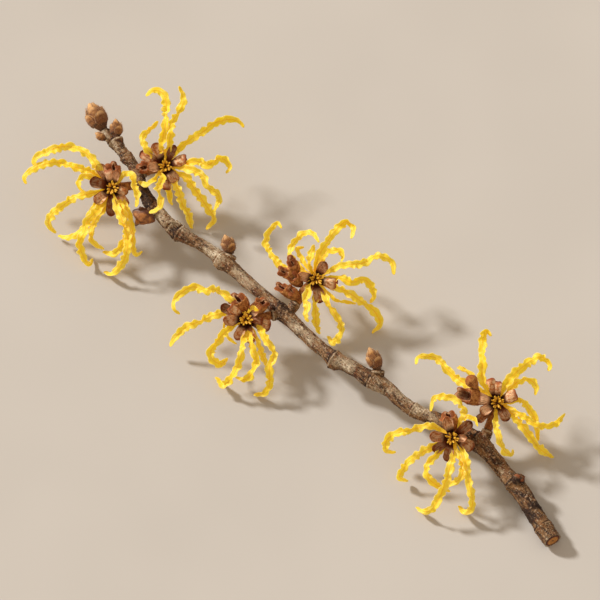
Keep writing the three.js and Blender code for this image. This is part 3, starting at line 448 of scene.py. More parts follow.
# The flower heads, from the growing tip to the cut end. Lengths inside a head are measured from the
# mouth of its throat: right, up, and towards the eye. A lobe is the tip of a calyx lobe and its width.
# A knob is an unopened or spent calyx: where it starts and ends, its width, and how wide its mouth is
# where that isn't random. A strap is a petal: the height of its tip, how far it arches above the
# straight line to that tip, its width, and the places that it passes.
heads = [
    {
        "middle": [-47, 28.1], "height": 12.5, "stalk": [-40.3, 28.8], "spur": 0.4,
        "lobes": [
            [-5.2, 1.6, 0.3, 3], [-4, -3.6, 0.8, 2.8], [-0.3, -6.7, 0.6, 2.8], [3.6, -4.3, -0.8, 2.3],
            [3.7, -1.2, 0.5, 2.3], [-1, 4.2, 0.9, 2.2], [1.3, 4, 0.9, 2.2], [-3.4, 5.4, -1, 2.6],
        ],
        "knobs": [
            [[0.6, 1.2, -3], [0.4, 6.4, -1.4], 3.6], [[-0.8, 1.2, -3.2], [-3.2, 6, -2], 2.8],
        ],
        "straps": [
            [10.5, 3.6, 2.5, [-3.3, 4.6], [-6, 8.3], [-11.5, 10.4], [-16, 9.1], [-19.5, 7], [-18.8, 4.4]],
            [9, 2.2, 2.3, [-4, 3.3], [-9.5, 5.2], [-14, 6.3], [-18.3, 5.4], [-22, 2.6], [-21.5, 0.9]],
            [12.5, 1, 1.7, [-4.8, 2.6], [-7.4, 2.8], [-8.2, 0.4], [-6.6, -1.6]],
            [1.6, 3, 2.4, [-3.3, -1], [-9.5, -2.6], [-12.3, -4.4], [-14.8, -6.4], [-16, -9],
             [-14.2, -11.4]],
            [0.45, 3, 2.4, [-1.8, -3.6], [-4, -6], [-6.2, -8.5], [-6.8, -11], [-8.2, -14], [-6, -19],
             [-4.8, -18]],
            [3, 0.8, 2, [-3, -3.2], [-5.6, -6.6], [-6.6, -9.4], [-10.3, -12.4], [-13.5, -12]],
            [5, 0.4, 1.8, [-1.2, -4], [-3.8, -7.6], [-5.2, -11.5], [-4.8, -13.6], [-2, -15.4]],
            [4, 2, 2.3, [1.8, -3.4], [2.8, -6.4], [3.5, -9], [4, -11.6], [2, -15], [0.5, -16.5],
             [-2.3, -16]],
            [6.6, 0.4, 1.8, [2.6, -3], [4, -6.4], [5, -9.6], [5.3, -15], [6, -16.8], [7.6, -16]],
            [0.6, 3.6, 2.4, [0.8, -4], [2.6, -8.4], [4, -13.6], [2.8, -18.4], [0, -21.6], [-2, -21]],
            [12.6, 2, 2.1, [1.6, 1.6], [3.4, 3.6], [4.9, 3], [5.6, 0.4], [6.5, -2.2], [6, -4.9]],
        ],
    },
    {
        "middle": [-33.6, 33.5], "height": 13.5, "stalk": [-40.8, 31.5], "spur": 0.4,
        "lobes": [
            [4.8, 2, 0.3, 3], [2.2, 4.9, 0, 2.2], [-2.9, 5.3, -0.8, 2.8], [-6, 3.3, -0.8, 2.8],
            [-4.2, -0.4, 0.9, 2.8], [2.6, -3.8, 0.4, 2.9], [0.3, -5.6, 0.2, 2.6],
        ],
        "knobs": [
            [[-1.4, -0.4, -3], [-7, -0.5, 0.2], 3.1],
        ],
        "straps": [
            [13.2, 2.5, 2.2, [-1.5, -1.6], [-0.6, -3], [-1.9, -5.6], [-1.1, -9], [-2.1, -10.8],
             [-4.1, -11.6]],
            [16, 1.5, 2, [-3, 2.2], [-4.6, 4], [-5.9, 7], [-4.6, 8.8], [-3.1, 10], [-1.9, 11.2]],
            [21.5, 2.5, 2.4, [-1.1, 4.5], [-0.6, 7.5], [0, 10.5], [0, 16.5], [-1.1, 18.5], [-3.1, 19],
             [-4.9, 17.5]],
            [22.5, 2, 2.2, [0.8, 4.5], [1.2, 7.5], [1.8, 11.2], [4.1, 15], [4.4, 17.2], [3.4, 20]],
            [15, 2.5, 2.4, [2.4, 3.2], [4.6, 5.5], [9.9, 9], [12.1, 10.7], [16.9, 11.7], [18.6, 11],
             [19.6, 9.7]],
            [12.5, 2, 2.3, [4.1, 0.5], [8.6, 1], [10.4, 0.2], [13.9, 2], [16.1, -0.3], [15.1, -1.8]],
            [8, 3.2, 2.2, [2.9, -0.3], [5.4, -0.6], [9.4, -2.6], [10.4, -4.8], [13.4, -7.8], [12.1, -11.3]],
            [1.2, 1.4, 2.4, [2.9, -1.8], [5.1, -2.8], [6.6, -4.8], [9.9, -9.6], [12.1, -13.1],
             [10.1, -15.8]],
            [0.25, 2.5, 2.4, [2.4, -4.3], [3.4, -6.6], [4.1, -9.3], [5.6, -11.8], [6.4, -15.6]],
            [5.5, 0.3, 1.8, [0.6, -4], [0.9, -7.8], [1.6, -9.8]],
            [15, 1, 1.5, [-0.2, 2.4], [0, 3.8], [-1.6, 3.2]],
            [12.6, 2, 1.8, [-1.4, -1.2], [-3.3, -3.8], [-5, -4.5], [-6.8, -3.8]],
        ],
    },
    {
        "middle": [-13.5, -4.75], "height": 11.5, "stalk": [-4.6, -3.8], "spur": 0.8,
        "lobes": [
            [-5.3, -0.2, 0.5, 2.9], [-5.8, 3.2, -0.6, 2.7], [-3.9, 2.7, 0.7, 2.5], [3.5, 3.4, 0.9, 3.1],
            [3.9, -0.6, 0.6, 2.2], [-2.2, -4.9, 0.6, 2.6], [1.6, -5.6, 0.5, 3], [5.7, -2, -1.6, 3.6],
        ],
        "knobs": [
            [[0.4, 1.6, -3], [-2.8, 6.2, -1.6], 4.2], [[2, 1.4, -3], [5, 5, -1.4], 3.6],
        ],
        "straps": [
            [8.5, 2.5, 2.3, [-3.3, 4.5], [-8, 7.5], [-10, 7], [-13.25, 8], [-17.3, 5.3], [-18, 2.6],
             [-16.5, 1.2]],
            [3.5, 2.5, 2.4, [-3.4, 1.6], [-7.8, 1], [-11.3, -0.5], [-14.5, -1.8], [-17.5, -4.5],
             [-19, -6.8]],
            [4, 2.5, 2.4, [-2, -0.8], [-5.3, -3.5], [-8, -6.8], [-8.8, -8.3], [-8.3, -10], [-6.5, -11.2],
             [-4.5, -10]],
            [5, 1.5, 1.3, [-5, -0.6], [-5.5, -2.8], [-4.2, -4.8], [-2.3, -6.3]],
            [0.5, 3, 2.3, [0.2, -3], [-0.5, -5.3], [-1.5, -10], [-3, -13.8], [-5.3, -16.3], [-7.5, -14.5]],
            [3, 2.5, 2.2, [0.8, -3], [1.8, -7.8], [2.6, -10.5], [1.5, -13.5], [0, -15], [-2.5, -14.5]],
            [3, 2, 2, [1.8, -3], [3.3, -6.8], [4.5, -10], [5.2, -12]],
            [0.7, 3, 2.4, [2.5, -1], [4.8, -4.8], [7, -9], [5.9, -12], [5.8, -16.5], [4.5, -18.5],
             [2, -18.8]],
            [14.6, 1, 1.8, [0.5, 1.4], [1.5, 2.8], [3.2, 2.2]],
        ],
    },
    {
        "middle": [3.9, 5.3], "height": 13.5, "stalk": [-3.6, -4], "spur": 2,
        "lobes": [
            [2.3, 3.9, 0.2, 2.8], [4.9, -1.6, 0.3, 3.2], [1, -5.7, 0.2, 3], [-4.1, 1, 1, 2.6],
            [-3.6, -3.7, 0.4, 2.6],
        ],
        "knobs": [
            [[-3.4, -1.9, -1.6], [-6.8, 1.5, 2.1], 3.2], [[-4.3, 0.3, -1.2], [-9.1, 2.1, 1.6], 3],
            [[-4.4, 1.3, -1], [-6.4, 5, 1.6], 2.9], [[-4.6, -5.4, -0.6], [-9.7, -1, -0.4], 2.8],
            [[-4.2, -4.9, -0.8], [-6.9, -2.1, 1.6], 2.7],
        ],
        "straps": [
            [16, -2, 2, [-3.6, 1.2], [-8.4, 3], [-11.4, 6.7], [-12.4, 8.5], [-12.1, 10.7], [-9.6, 14],
             [-8.4, 12.7]],
            [16, -2, 2.1, [-3, 2], [-6.1, 5], [-6.2, 7.4], [-4.1, 10.5], [-2.6, 11.5], [-0.6, 11.2],
             [0.9, 9.2]],
            [13, -1.5, 1.6, [-1.6, 2.2], [-3.4, 5], [-4.6, 7.4], [-2.9, 8]],
            [18, 1.5, 2.2, [-1.2, 2.2], [-1.4, 4.5], [-0.9, 6.7], [-0.4, 8.5]],
            [18, 2.5, 2.4, [0, 3], [1.1, 6.2], [3.4, 10], [6.1, 13.2], [7.6, 14.2], [9.4, 12.6], [8.9, 10]],
            [13.5, 1, 2, [0.6, 2.6], [2.9, 6.7], [6.1, 6.9], [6.9, 5.7], [6.4, 4.2]],
            [12.5, 2.5, 2.4, [2.4, 1.5], [6.9, 3.2], [9.1, 3.5], [12.1, 4], [15.4, 5.7], [18.9, 4.2],
             [19.6, 1]],
            [8.5, 2.5, 2.3, [3, 0.2], [6.9, 0], [9.1, -1], [11.4, -0.2], [13.1, -1], [14.6, -4.3],
             [13.6, -6]],
            [0.35, 3.5, 2.5, [2.2, -1.4], [6.9, -2.8], [11.1, -5.5], [14.4, -7.8], [16.1, -11.3],
             [14.1, -13.5]],
            [7, 1.5, 1.2, [2, -2.4], [5.1, -5.3], [6.9, -5.6], [10.1, -6.3]],
            [2, 3, 2.3, [1.4, -2.4], [3.1, -5.8], [5.4, -10], [6.4, -12.3], [5.9, -14.5], [4.4, -15.8],
             [3.1, -14.3]],
            [12.8, 2, 2.4, [-1.6, -1], [-2.1, -3.8], [-2.6, -5.3], [-2.1, -7], [-2.4, -9.5], [-1.9, -10.8]],
            [1, 2, 2.3, [0, -3.6], [0, -6.8], [0.1, -11.3], [0.9, -13.8]],
        ],
    },
    {
        "middle": [37.9, -34.3], "height": 12, "stalk": [38.6, -32], "spur": 0.4,
        "lobes": [
            [-1.6, 4.9, 0.8, 2.8], [-5.3, 0.4, 0.5, 2.9], [4.5, 3.7, 0.4, 2.8], [3.3, -0.2, 0.9, 2.1],
            [5, -2.2, -0.8, 3.2], [-1.5, -5.4, 0.5, 2.7], [-4.6, -3, -0.2, 2.5],
        ],
        "knobs": [
            [[0.8, 2, -2.8], [-1.6, 6.6, -1.6], 4],
        ],
        "straps": [
            [4.5, 2.5, 2.4, [-2.9, 2], [-5.4, 3], [-11.1, 1.8], [-14.1, 1], [-16.4, -0.7], [-16.4, -3.2],
             [-14.1, -3.7]],
            [1, 2.5, 2.3, [-2.1, -1.2], [-5.1, -2.2], [-10.1, -5.4], [-12.1, -7.7], [-13.1, -9.7],
             [-11.1, -10.9]],
            [3.5, 1.5, 2.1, [-1.9, -2.4], [-5.1, -5.2], [-6.4, -7.4], [-6.1, -9.7], [-4.4, -11.4],
             [-0.6, -13.4]],
            [0.5, 3, 2.4, [0.3, -3], [-0.9, -8.2], [-2.6, -13.4], [-5.4, -17.9], [-7.4, -18.2],
             [-8.9, -17.2]],
            [6, 1.5, 1.9, [1.2, -3.4], [2.6, -8.2], [1.6, -10.4], [-1.9, -12.2]],
            [0.8, 3, 2.4, [1.9, -1.9], [3.1, -5.2], [4.1, -10.9], [4.9, -15.9], [4.4, -17.9],
             [2.9, -18.4], [1.7, -16.9]],
            [11, 3, 2.1, [1.4, 1.6], [1.9, 4.1], [2.9, 6.8], [0.6, 9.6], [-1.9, 10.3], [-4.4, 9.8],
             [-5.4, 6.6]],
            [14.6, 1, 1.5, [2.2, 2.2], [3.8, 5.2], [5.6, 4.6], [6.3, 2.9]],
        ],
    },
    {
        "middle": [49.1, -25.5], "height": 13, "stalk": [45.4, -36.2], "spur": 1.8,
        "lobes": [
            [4.4, 2.2, 0.4, 3.3], [2.4, -4.3, 0.2, 2.9], [-3.9, -2.6, 1, 2.7], [-4.6, 1.2, 1, 3.2],
            [0.2, 4.9, 0.5, 2], [-1.8, 5.6, -0.8, 2.6], [-4.8, -4.4, -1, 2.4],
        ],
        "knobs": [
            [[-3.6, 1.6, -1], [-7.4, 6.6, 1.9], 3.2, -1], [[-2.6, 0.4, -1.8], [-9.9, 2.3, 1.6], 4.3, 0.66],
        ],
        "straps": [
            [13, -2, 2.4, [-2.6, 2.2], [-7.3, 4.2], [-12.1, 7.8], [-15.1, 11], [-17.6, 11.5], [-19.8, 11],
             [-20.1, 9.5]],
            [12, -1.5, 1.3, [-2, 2.8], [-6, 6.8], [-9.6, 8.8], [-7.6, 7.6]],
            [19, 2, 2.5, [-2, 2.6], [-3.8, 6], [-3.6, 10.5], [-3.6, 15.6], [-2.8, 17.8], [-1.4, 16.6]],
            [15, 2.5, 2.6, [1.2, 2.8], [4.2, 7], [8.7, 10.5], [10.9, 11.3], [13.2, 9.3], [12.7, 7.8]],
            [12.5, 2, 2.2, [2.2, 2], [4.9, 5], [7.2, 5.8], [8.7, 5.3], [9.7, 3.8], [9.4, 1.8]],
            [6, 2, 2.1, [3, 0], [5.7, 0.5], [7.2, -0.8], [9.4, -4.3], [10.2, -9.5]],
            [8, 1.5, 1.9, [2.8, -1.2], [5.7, -3], [9.7, -5.5], [12.2, -5.8], [14.4, -5.3], [16.9, -2.8]],
            [0.4, 3, 2.6, [1.9, -1.5], [4.2, -3.3], [7.4, -7.5], [10.4, -11.3], [13.9, -13.8]],
            [6.5, 1.5, 2.2, [-0.4, -2.8], [-0.3, -5.8], [0.9, -10.3], [1.9, -12.3], [3.4, -12.8],
             [4, -11.8]],
        ],
    },
]


# A place inside a head
def within(head, right, up, near):
    right, up, near = (np.asarray(v, float)[..., None] for v in (right, up, near))
    mouth = seen(*head["middle"], head["height"])
    return mouth + right * rightward + up * upward + near * toEye


# Of a head: from its mouth down to the floor of its throat, the depth of its cup below that, and the
# gap between the spur and its stalk
throatDepth, cupDepth, seat = 1.5, 3.0, 0.3


# The spur under a head: from the nearest place on the twig's axis towards the back of the head's cup
def spurOf(head):
    steps = 400
    axis = curveThrough(twigPlaces, np.linspace(0, 1, steps + 1))
    offset = axis - seen(*head["stalk"], 0)
    nearest = np.argmin(np.hypot(offset @ rightward, offset @ upward))
    station = int(nearest / steps * (len(twigPlaces) - 1) + 0.5)
    back = within(head, 0, 0, -throatDepth - cupDepth / 2)
    inward = unit(back - axis[nearest])
    tip = axis[nearest] + inward * (twigLook["stations"][station, 3] + head["spur"])
    return axis[nearest], tip, inward, back


petalLook = {
    "thickness": 0.2,
    "wave": 0.3, "step": 2.25, "crimpTurn": 2.3,  # the edges' slow swing out of the petal's face
    "crimp": 0.3, "crimpSize": 2.2,  # the height of the close crimps of its edges, and their length
    "scallop": 0.2,  # how far the edges run in and out with the crimps, as a share of the half width
    "tipTwist": 0.8, "extraTwist": 0.55, "twistLength": 8.5,
    "channel": 0.42,  # how deep the petal is folded along its middle
    "folds": 0.07,  # height of the fine folds that run along it
    "rows": 120, "columns": 20,
    "slim": 0.86,  # share of the widths that the routes give
    "tightest": 0.62,  # its half width in a turn, as a share of the turn's radius, at most
    "tipLength": 0.75,  # of its rounded tip
    "sunken": 1.5,  # how far its root lies below the calyx lobes
    "rootSpread": 1.1, "hub": 3.0,
}


# A petal's middle line: its route, with the height running straight from root to tip plus a parabola
def petalRoute(head, tip, arch, route):
    route = np.array(route, float)
    flat = np.vstack([route[0] * petalLook["rootSpread"] / np.hypot(*route[0]), route])
    covered = lengthsAlong(flat)
    share = covered / covered[-1]
    root = within(head, *flat[0], -0.35)
    height = root[2] + (tip - root[2]) * share + 4 * arch * share * (1 - share)
    places = seen(head["middle"][0] + flat[:, 0], head["middle"][1] + flat[:, 1], height)
    places[0] = root
    return places


# A petal: a thin oval section carried along its route. The section's middle line is lifted at the
# edges by one wave on the left and one on the right, by small creases across, and by a channel along
# the middle; it narrows at both ends and in tight turns, and twists towards the tip.
def petalPart(head, strap, draws, seed):
    look = petalLook
    tip, arch, width, *route = strap
    rows = look["rows"]
    middle, along, length = evenly(petalRoute(head, tip, arch, route), rows)
    s = np.linspace(0, 1, rows)
    steps = max(4, int(length / look["step"] + 0.5))
    phase = next(draws) * math.pi
    lean = (next(draws) - 0.5) * 0.7
    random = np.random.default_rng(seed)
    drift = random.uniform(0, 6, 4)
    twist = lean * np.sin(math.pi * s) + look["tipTwist"] * ease(s, 0.7, 1)
    swing = np.sin(2 * math.pi * s * length / look["twistLength"] + drift[0])
    twist = twist + look["extraTwist"] * np.sin(math.pi * s) * swing
    across = turned(unit(np.cross(along, toEye)), along, twist)
    face = unit(np.cross(across, along))
    reach = 0.5 / steps
    aimAt = lambda at: np.stack([np.interp(np.clip(at, 0, 1), s, along[:, k]) for k in range(3)], -1)
    turning = np.abs(((aimAt(s + reach) - aimAt(s - reach)) * across).sum(-1)) * steps / length
    taper = np.minimum(0.5 + 0.5 * ease(s * length, 1.4, 5.5), 0.55 + 1.7 * (1 - s))
    widest = look["tightest"] / np.maximum(turning, 0.01)
    half = smoothed(np.minimum(look["slim"] * width / 2 * taper, widest), 11)
    left = (1 - s) * length
    half = half * np.sqrt(np.clip(1 - (np.maximum(look["tipLength"] - left, 0) / 0.78) ** 2.2, 0.01, 1))

    v, side, _ = ringOf(look["columns"])
    hand = np.where(v < 0, 0.0, 1.0)
    run = s[:, None] * length
    onEdge = beside(run / 2.2, 3.1 * hand + drift[1], 0.0)
    env = np.minimum(np.minimum(1, 4 * s), 4 * (1 - s))[:, None]
    turn = s[:, None] * steps * look["crimpTurn"] + phase
    wave = look["wave"] * env * np.where(v < 0, np.sin(turn), np.sin(turn + look["crimpTurn"]))
    strength = 1 + 0.7 * noise(onEdge, 1.3, seed + 3)
    crimpTurn = 2 * math.pi * run / look["crimpSize"] + 3 * noise(onEdge, 1, seed) + 2.6 * hand + drift[3]
    crimp = look["crimp"] * env * strength * np.sin(crimpTurn)
    wide = half[:, None] * (1 + look["scallop"] * env * strength * np.cos(crimpTurn + 0.6))
    wide = wide * (1 + 0.16 * noise(onEdge, 1.9, seed + 5))
    narrow = np.minimum(1, wide / 0.8)
    edge = np.abs(v) ** 1.3
    channel = look["channel"] * wide * (np.abs(v) ** 0.8 - 0.5) * (0.6 + 0.8 * np.sin(run / 3.3 + drift[2]))
    folds = look["folds"] * np.cos(7.5 * v + 0.8 * np.sin(run / 2.1 + drift[1])) * narrow
    lift = (wave + crimp) * edge * narrow + folds + channel * np.minimum(1, 6 * (1 - s[:, None]))
    thick = look["thickness"] / 2 * (0.35 + 0.65 * np.sqrt(1 - v**2)) * side * np.ones_like(run)
    middle = middle - (look["sunken"] * (1 - ease(s * length, 1.6, 6)))[:, None] * toEye
    rings = middle[:, None] + (wide * v)[..., None] * across[:, None]
    rings = rings + (lift + thick)[..., None] * face[:, None]
    rings[..., 2] = np.maximum(rings[..., 2], 0.02)
    return skin(rings, beside(run, v, random.uniform(0, 1)), tip=0.03 * along[-1])


# A closed pod from one place to another, oval across: it swells as sin(pi s^skew)^blunt, its middle
# bows away from its face as sin(pi s), and change(s, angle) scales it where it is grooved
def pod(start, end, face, width, thickness, bow=0.0, blunt=0.6, skew=1.0, rows=30, columns=28,
        change=lambda s, angle: np.ones_like(angle), grain=0.04, seed=1, tint=0.0, material=0):
    along = end - start
    across, out = bladeAxes(along, face)
    s = closeAtEnds(rows, 0.09)
    swell = np.sin(math.pi * s**skew) ** blunt / 2
    v, side, angle = ringOf(columns)
    middle = start + along * s[:, None] - out * (bow * np.sin(math.pi * s))[:, None]
    wide = swell[:, None] * change(s[:, None], angle)
    spoke = (width * v)[:, None] * across + (thickness * side)[:, None] * out
    rings = roughened(middle[:, None] + wide[..., None] * spoke, unit(spoke), grain, 0.7, 2, seed)
    return skin(rings, beside(s[:, None], v, tint), start, end, material=material)


# A head's petals, on the dark cushion that they grow from
def petals(head, number):
    draws = drawsFrom(10 + number)
    hub = pod(within(head, 0, 0, -1.9), within(head, 0, 0, -0.2), rightward, petalLook["hub"],
              petalLook["hub"], blunt=0.4, rows=16, columns=24, grain=0.12, tint=0.1, material=1)
    parts = [petalPart(head, strap, draws, 100 * number + k) for k, strap in enumerate(head["straps"])]
    finishes = [petalFinish, throatFinish]
    return makePiece(f"petals_{number}_crimped", [hub] + parts, finishes, f"petals_{number}")


calyxLook = {
    "radius": 2.5,
    "lobeThickness": 0.24, "lobeWidth": 1.2, "lobeReach": 1.07,
    "lobeLift": 0.8,  # how far the lobes arch above the petals' roots
    # how far a lobe's rims rise, as a share of its half width, and how far its tip curls: one of each
    "spoons": [1.1, 0.9, 0.7, -0.6],
    "curls": [-1.2, -0.9, -0.4, 0.2, 0.5], "curl": 1.1,
    "lean": 0.3,  # how far a lobe leans to one side, in radians at most
    "ruffle": 0.12, "fineRuffle": 0.08,  # heights of the waves of its rims
    "lobeRows": 36, "lobeColumns": 34,
    "stalkRadius": 1.1,
    "mouth": 0.3,  # how wide the mouth of a spent calyx is, as a share of its width
    "hairs": 900, "hairLength": 0.42, "hairRadius": 0.016,
}


# A calyx lobe: a thin spoon on an arched middle line. Its rims rise as |v|^2.4 and its tip curls.
def lobePart(head, right, up, near, width, seed):
    look = calyxLook
    start = within(head, 0.22 * right, 0.22 * up, -throatDepth - 0.3)
    end = within(head, look["lobeReach"] * right, look["lobeReach"] * up, near)
    random = np.random.default_rng(seed)
    spoon = random.choice(look["spoons"])
    curl = look["curl"] * random.choice(look["curls"])
    lean = random.uniform(-look["lean"], look["lean"])
    along = end - start
    across = turned(unit(np.cross(along, toEye)), unit(along), np.float64(lean))
    out = unit(np.cross(across, along))
    s = closeAtEnds(look["lobeRows"])
    rounding = np.sqrt(np.clip(1 - (np.maximum(s - 0.74, 0) / 0.265) ** 2.6, 0.004, 1))
    half = look["lobeWidth"] * width / 2 * (0.62 + 0.38 * ease(s, 0.1, 0.6)) * rounding
    middle = start + along * s[:, None]
    middle = middle + toEye * (look["lobeLift"] * np.sin(math.pi * s**0.8))[:, None]
    middle = middle + toEye * (curl * ease(s, 0.62, 1.05) ** 1.5)[:, None]
    v, side, _ = ringOf(look["lobeColumns"])
    s, half, rounding = s[:, None], half[:, None], rounding[:, None]
    ruffle = look["ruffle"] * np.sin(9 * s + 2 * v + seed)
    ruffle = ruffle + look["fineRuffle"] * np.sin(17 * s + 3 * v + seed)
    rim = spoon * (np.abs(v) ** 2.4 - 0.35) * half * ease(s, 0.1, 0.5) + ruffle * np.abs(v) ** 2
    wide = half * v * (1 - 0.2 * np.abs(v) ** 4 + 0.05 * np.sin(8 * s + 5 * lean))
    depth = look["lobeThickness"] / 2 * (0.6 + 0.7 * (1 - s))
    depth = depth * (0.5 + 0.5 * np.sqrt(1 - v**2)) * side * np.sqrt(rounding)
    rings = middle[:, None] + wide[..., None] * across + (rim + depth)[..., None] * out
    tone = -0.1 if near > 0.85 else 0.25 * random.uniform(0, 1) ** 1.5  # painted light: the lobes in front are painted pale, as lit
    return skin(roughened(rings, out, 0.035, 0.6, 2, seed), beside(s, v, np.where(side > 0, tone, 1 - tone)))


# A spent calyx's place along it and radius at each step, out to the curled lips and back down into
# the dark mouth
cupProfile = np.array([
    [0, 0.08], [0.05, 0.36], [0.14, 0.62], [0.28, 0.86], [0.45, 0.99], [0.62, 1], [0.76, 0.93],
    [0.86, 0.88], [0.94, 0.91], [0.985, 1], [1, 0.98], [0.98, 0.88], [0.9, 0.8], [0.76, 0.72],
    [0.6, 0.6], [0.5, 0.3], [0.48, 0.04],
])


# A spent calyx: a felted cup of four valves with seams between them
def cupPart(start, end, face, width, seed, mouth=None, slant=0.2, columns=44):
    random = np.random.default_rng(seed)
    narrow = calyxLook["mouth"] * random.uniform(0, 1)
    along, mouth = end - start, narrow if mouth is None else mouth
    steps = len(cupProfile)
    share = np.linspace(0, steps - 1, 3 * steps - 2)
    at, thick = (np.interp(share, np.arange(steps), row) for row in cupProfile.T)
    lip = np.argmax(cupProfile[:, 0])
    folded = share > lip
    thick = np.where(folded, thick * (0.12 + mouth), thick)
    across, out = bladeAxes(along, face)
    v, side, angle = ringOf(columns)
    turn = angle[None] - random.uniform(0, 2)
    seam = hump(turn % (math.pi / 2) - math.pi / 4, 0.3)
    lips = ease(at, 0.6, 1)[:, None]
    flare = lips * (0.16 * np.cos(turn + seed) + 0.14 * np.cos(2 * turn + 2 * seed))
    thick = thick[:, None] * (1 - (0.05 + 0.15 * lips) * seam + flare)
    rise = at[:, None] - lips * (0.08 * seam + 0.05 * np.cos(turn + 2.1 * seed) + slant * (1 + side))
    spoke = v[:, None] * across + 0.88 * side[:, None] * out
    rings = start + along * rise[..., None] + (width / 2 * thick)[..., None] * spoke
    rings = roughened(rings, spoke, 0.06, 1.1, 3, seed)
    felt = np.where(folded, 0.1, random.uniform(0.88, 1))[:, None]
    # inside the mouth the along value falls to this, and the calyx finish paints shade the lower it is, so a
    # wide mouth is painted less dark
    deep = 0.24 if mouth > 0.5 else 0.1
    reach = np.where(folded, np.interp(share - lip, [0, 1, 2.5], [0.9, 0.5, deep]), at)[:, None]
    return skin(rings, beside(reach, 0.9 * v, felt))


# A knob: a spent calyx, or where its mouth is below 0, a closed bud of four valves on a stalk
def knobPart(head, seed, start, end, width, mouth=None):
    start, end = within(head, *start), within(head, *end)
    if mouth is None or mouth >= 0:
        return cupPart(start, end, toEye, width, seed, mouth)
    valves = lambda s, angle: 1 - 0.1 * hump(np.cos(2 * angle + 0.7), 0.3) * ease(s, 0.5, 0.9)
    return pod(start, end, toEye, width, 0.9 * width, blunt=0.8, skew=2.6, change=valves, grain=0.07,
               seed=seed, tint=0.9)


# A felted stem through places, as thick as the radii along it
def stemPart(places, radii, rows=26, columns=24, seed=2, tint=0.9):
    middle, along, _ = evenly(np.array(places), rows)
    radius = np.interp(np.linspace(0, 1, rows), np.linspace(0, 1, len(radii)), radii)
    out = spokesRound(along, columns)
    rings = roughened(middle[:, None] + radius[:, None, None] * out, out, 0.09, 0.8, 2, seed)
    surface = beside(np.linspace(0, 0.8, rows)[:, None], ringOf(columns)[0], tint)
    return skin(rings, surface, middle[0], middle[-1])


# A head's calyx: the cup, its stalk, the open lobes, the knobs, and felt hairs on all of them
def calyx(head, number):
    look = calyxLook
    radius, floor = look["stalkRadius"], -throatDepth
    cup = pod(within(head, 0, 0, floor - cupDepth), within(head, 0, 0, floor), rightward,
              2 * look["radius"], 2 * look["radius"], blunt=0.5, rows=30, columns=40, grain=0.08,
              seed=number, tint=0.95)
    lobes = [lobePart(head, *lobe, 40 * number + k) for k, lobe in enumerate(head["lobes"])]
    knobs = [knobPart(head, 60 * number + k, *knob) for k, knob in enumerate(head["knobs"])]
    _, tip, inward, back = spurOf(head)
    foot = tip + inward * seat
    stalk = stemPart([back, foot + 0.4 * (back - foot), foot], [1.5 * radius, radius, radius], seed=number)
    long, thick = look["hairLength"], look["hairRadius"]
    tufts = [
        tuftOn(part, look["hairs"] // 3, 70 * number + k, 0.4 * toEye, long, thick, number + k)
        for k, part in enumerate([stalk, cup] + knobs)
    ]
    outer = lambda normals: np.clip(0.35 - normals @ toEye, 0, 1)
    tufts += [
        tuftOn(part, look["hairs"] // 6, 90 * number + k, 0.1 * toEye, 0.8 * long, thick, number + k, outer)
        for k, part in enumerate(lobes)
    ]
    parts = [cup, stalk] + lobes + knobs + tufts
    return makePiece(f"calyx_{number}_felted", parts, [calyxFinish, hairFinish], f"calyx_{number}")


stamenLook = {
    "count": 14, "length": 1.4, "width": 0.52, "thickness": 0.44,
    "hub": 1.9,
}


# Short golden stamens: rods with a groove along them, in a spiral on the head's dark cushion. The
# outer ones lean outwards.
def stamens(head, number):
    look = stamenLook
    draws = drawsFrom(30 + number)
    parts = [pod(within(head, 0, 0, -0.6), within(head, 0, 0, 0.6), rightward, look["hub"], look["hub"],
                 rows=12, columns=20, grain=0.16, seed=number, material=1)]
    groove = lambda s, angle: 1 - 0.22 * hump(np.cos(angle), 0.35)
    for k in range(look["count"]):
        turn = goldenTurn * k + 0.4 * next(draws)
        spread = 0.15 + 1.0 * math.sqrt((k + 0.3) / look["count"])
        side = math.cos(turn) * rightward + math.sin(turn) * upward
        aim = unit(toEye + (0.25 + 0.95 * spread) * side)
        size = 0.75 + 0.5 * next(draws)
        foot = within(head, 0, 0, 0.35) + 0.62 * spread * side
        width = look["width"] * (0.85 + 0.3 * next(draws))
        parts.append(pod(foot, foot + look["length"] * size * aim, side, width, look["thickness"], blunt=0.42,
                         skew=1.25, rows=20, columns=14, change=groove, grain=0.05, seed=k + 9, tint=0.9))
    finishes = [stamenFinish, throatFinish]
    return makePiece(f"stamens_{number}_golden", parts, finishes, f"stamens_{number}")


# Buds: the base, the tip, the width, and how many scales stand in their spiral
buds = {
    "terminal_bud": ([-49.5, 43.2, 10.9], [-52.9, 49.2, 12.4], 5.6, 9),
    "side_bud": ([-45.9, 40.9, 10.9], [-46.2, 45.4, 12], 3.4, 6),
    "node_bud_1": ([-17.2, 11.9, 10.4], [-18.8, 16.3, 13.2], 3.7, 6),
    "node_bud_2": ([19.4, -17.1, 9.8], [17.2, -11.8, 12.6], 4, 6),
    "tiny_bud": ([-48.9, 40.2, 11.9], [-51.3, 41.9, 12.6], 2.1, 4),
}
budLook = {
    "scaleThickness": 0.2, "rows": 30, "columns": 30,
    "body": 0.43,  # its radius under the scales, as a share of its width
    "tipLift": 0.3, "rimLift": 0.1,  # how far scales stand off at tip and rim, as a share of width / 5
    "hairs": 1500, "hairLength": 0.5, "hairRadius": 0.016,
}


# How thick a bud is along its axis, as a share of its width: broad at its base, with a pointed tip
def budProfile(at):
    return np.interp(at, [-0.1, 0, 0.08, 0.2, 0.36, 0.5, 0.64, 0.78, 0.9, 1, 1.06],
                     [0.4, 0.52, 0.7, 0.9, 1, 0.97, 0.84, 0.62, 0.36, 0.12, 0.0])


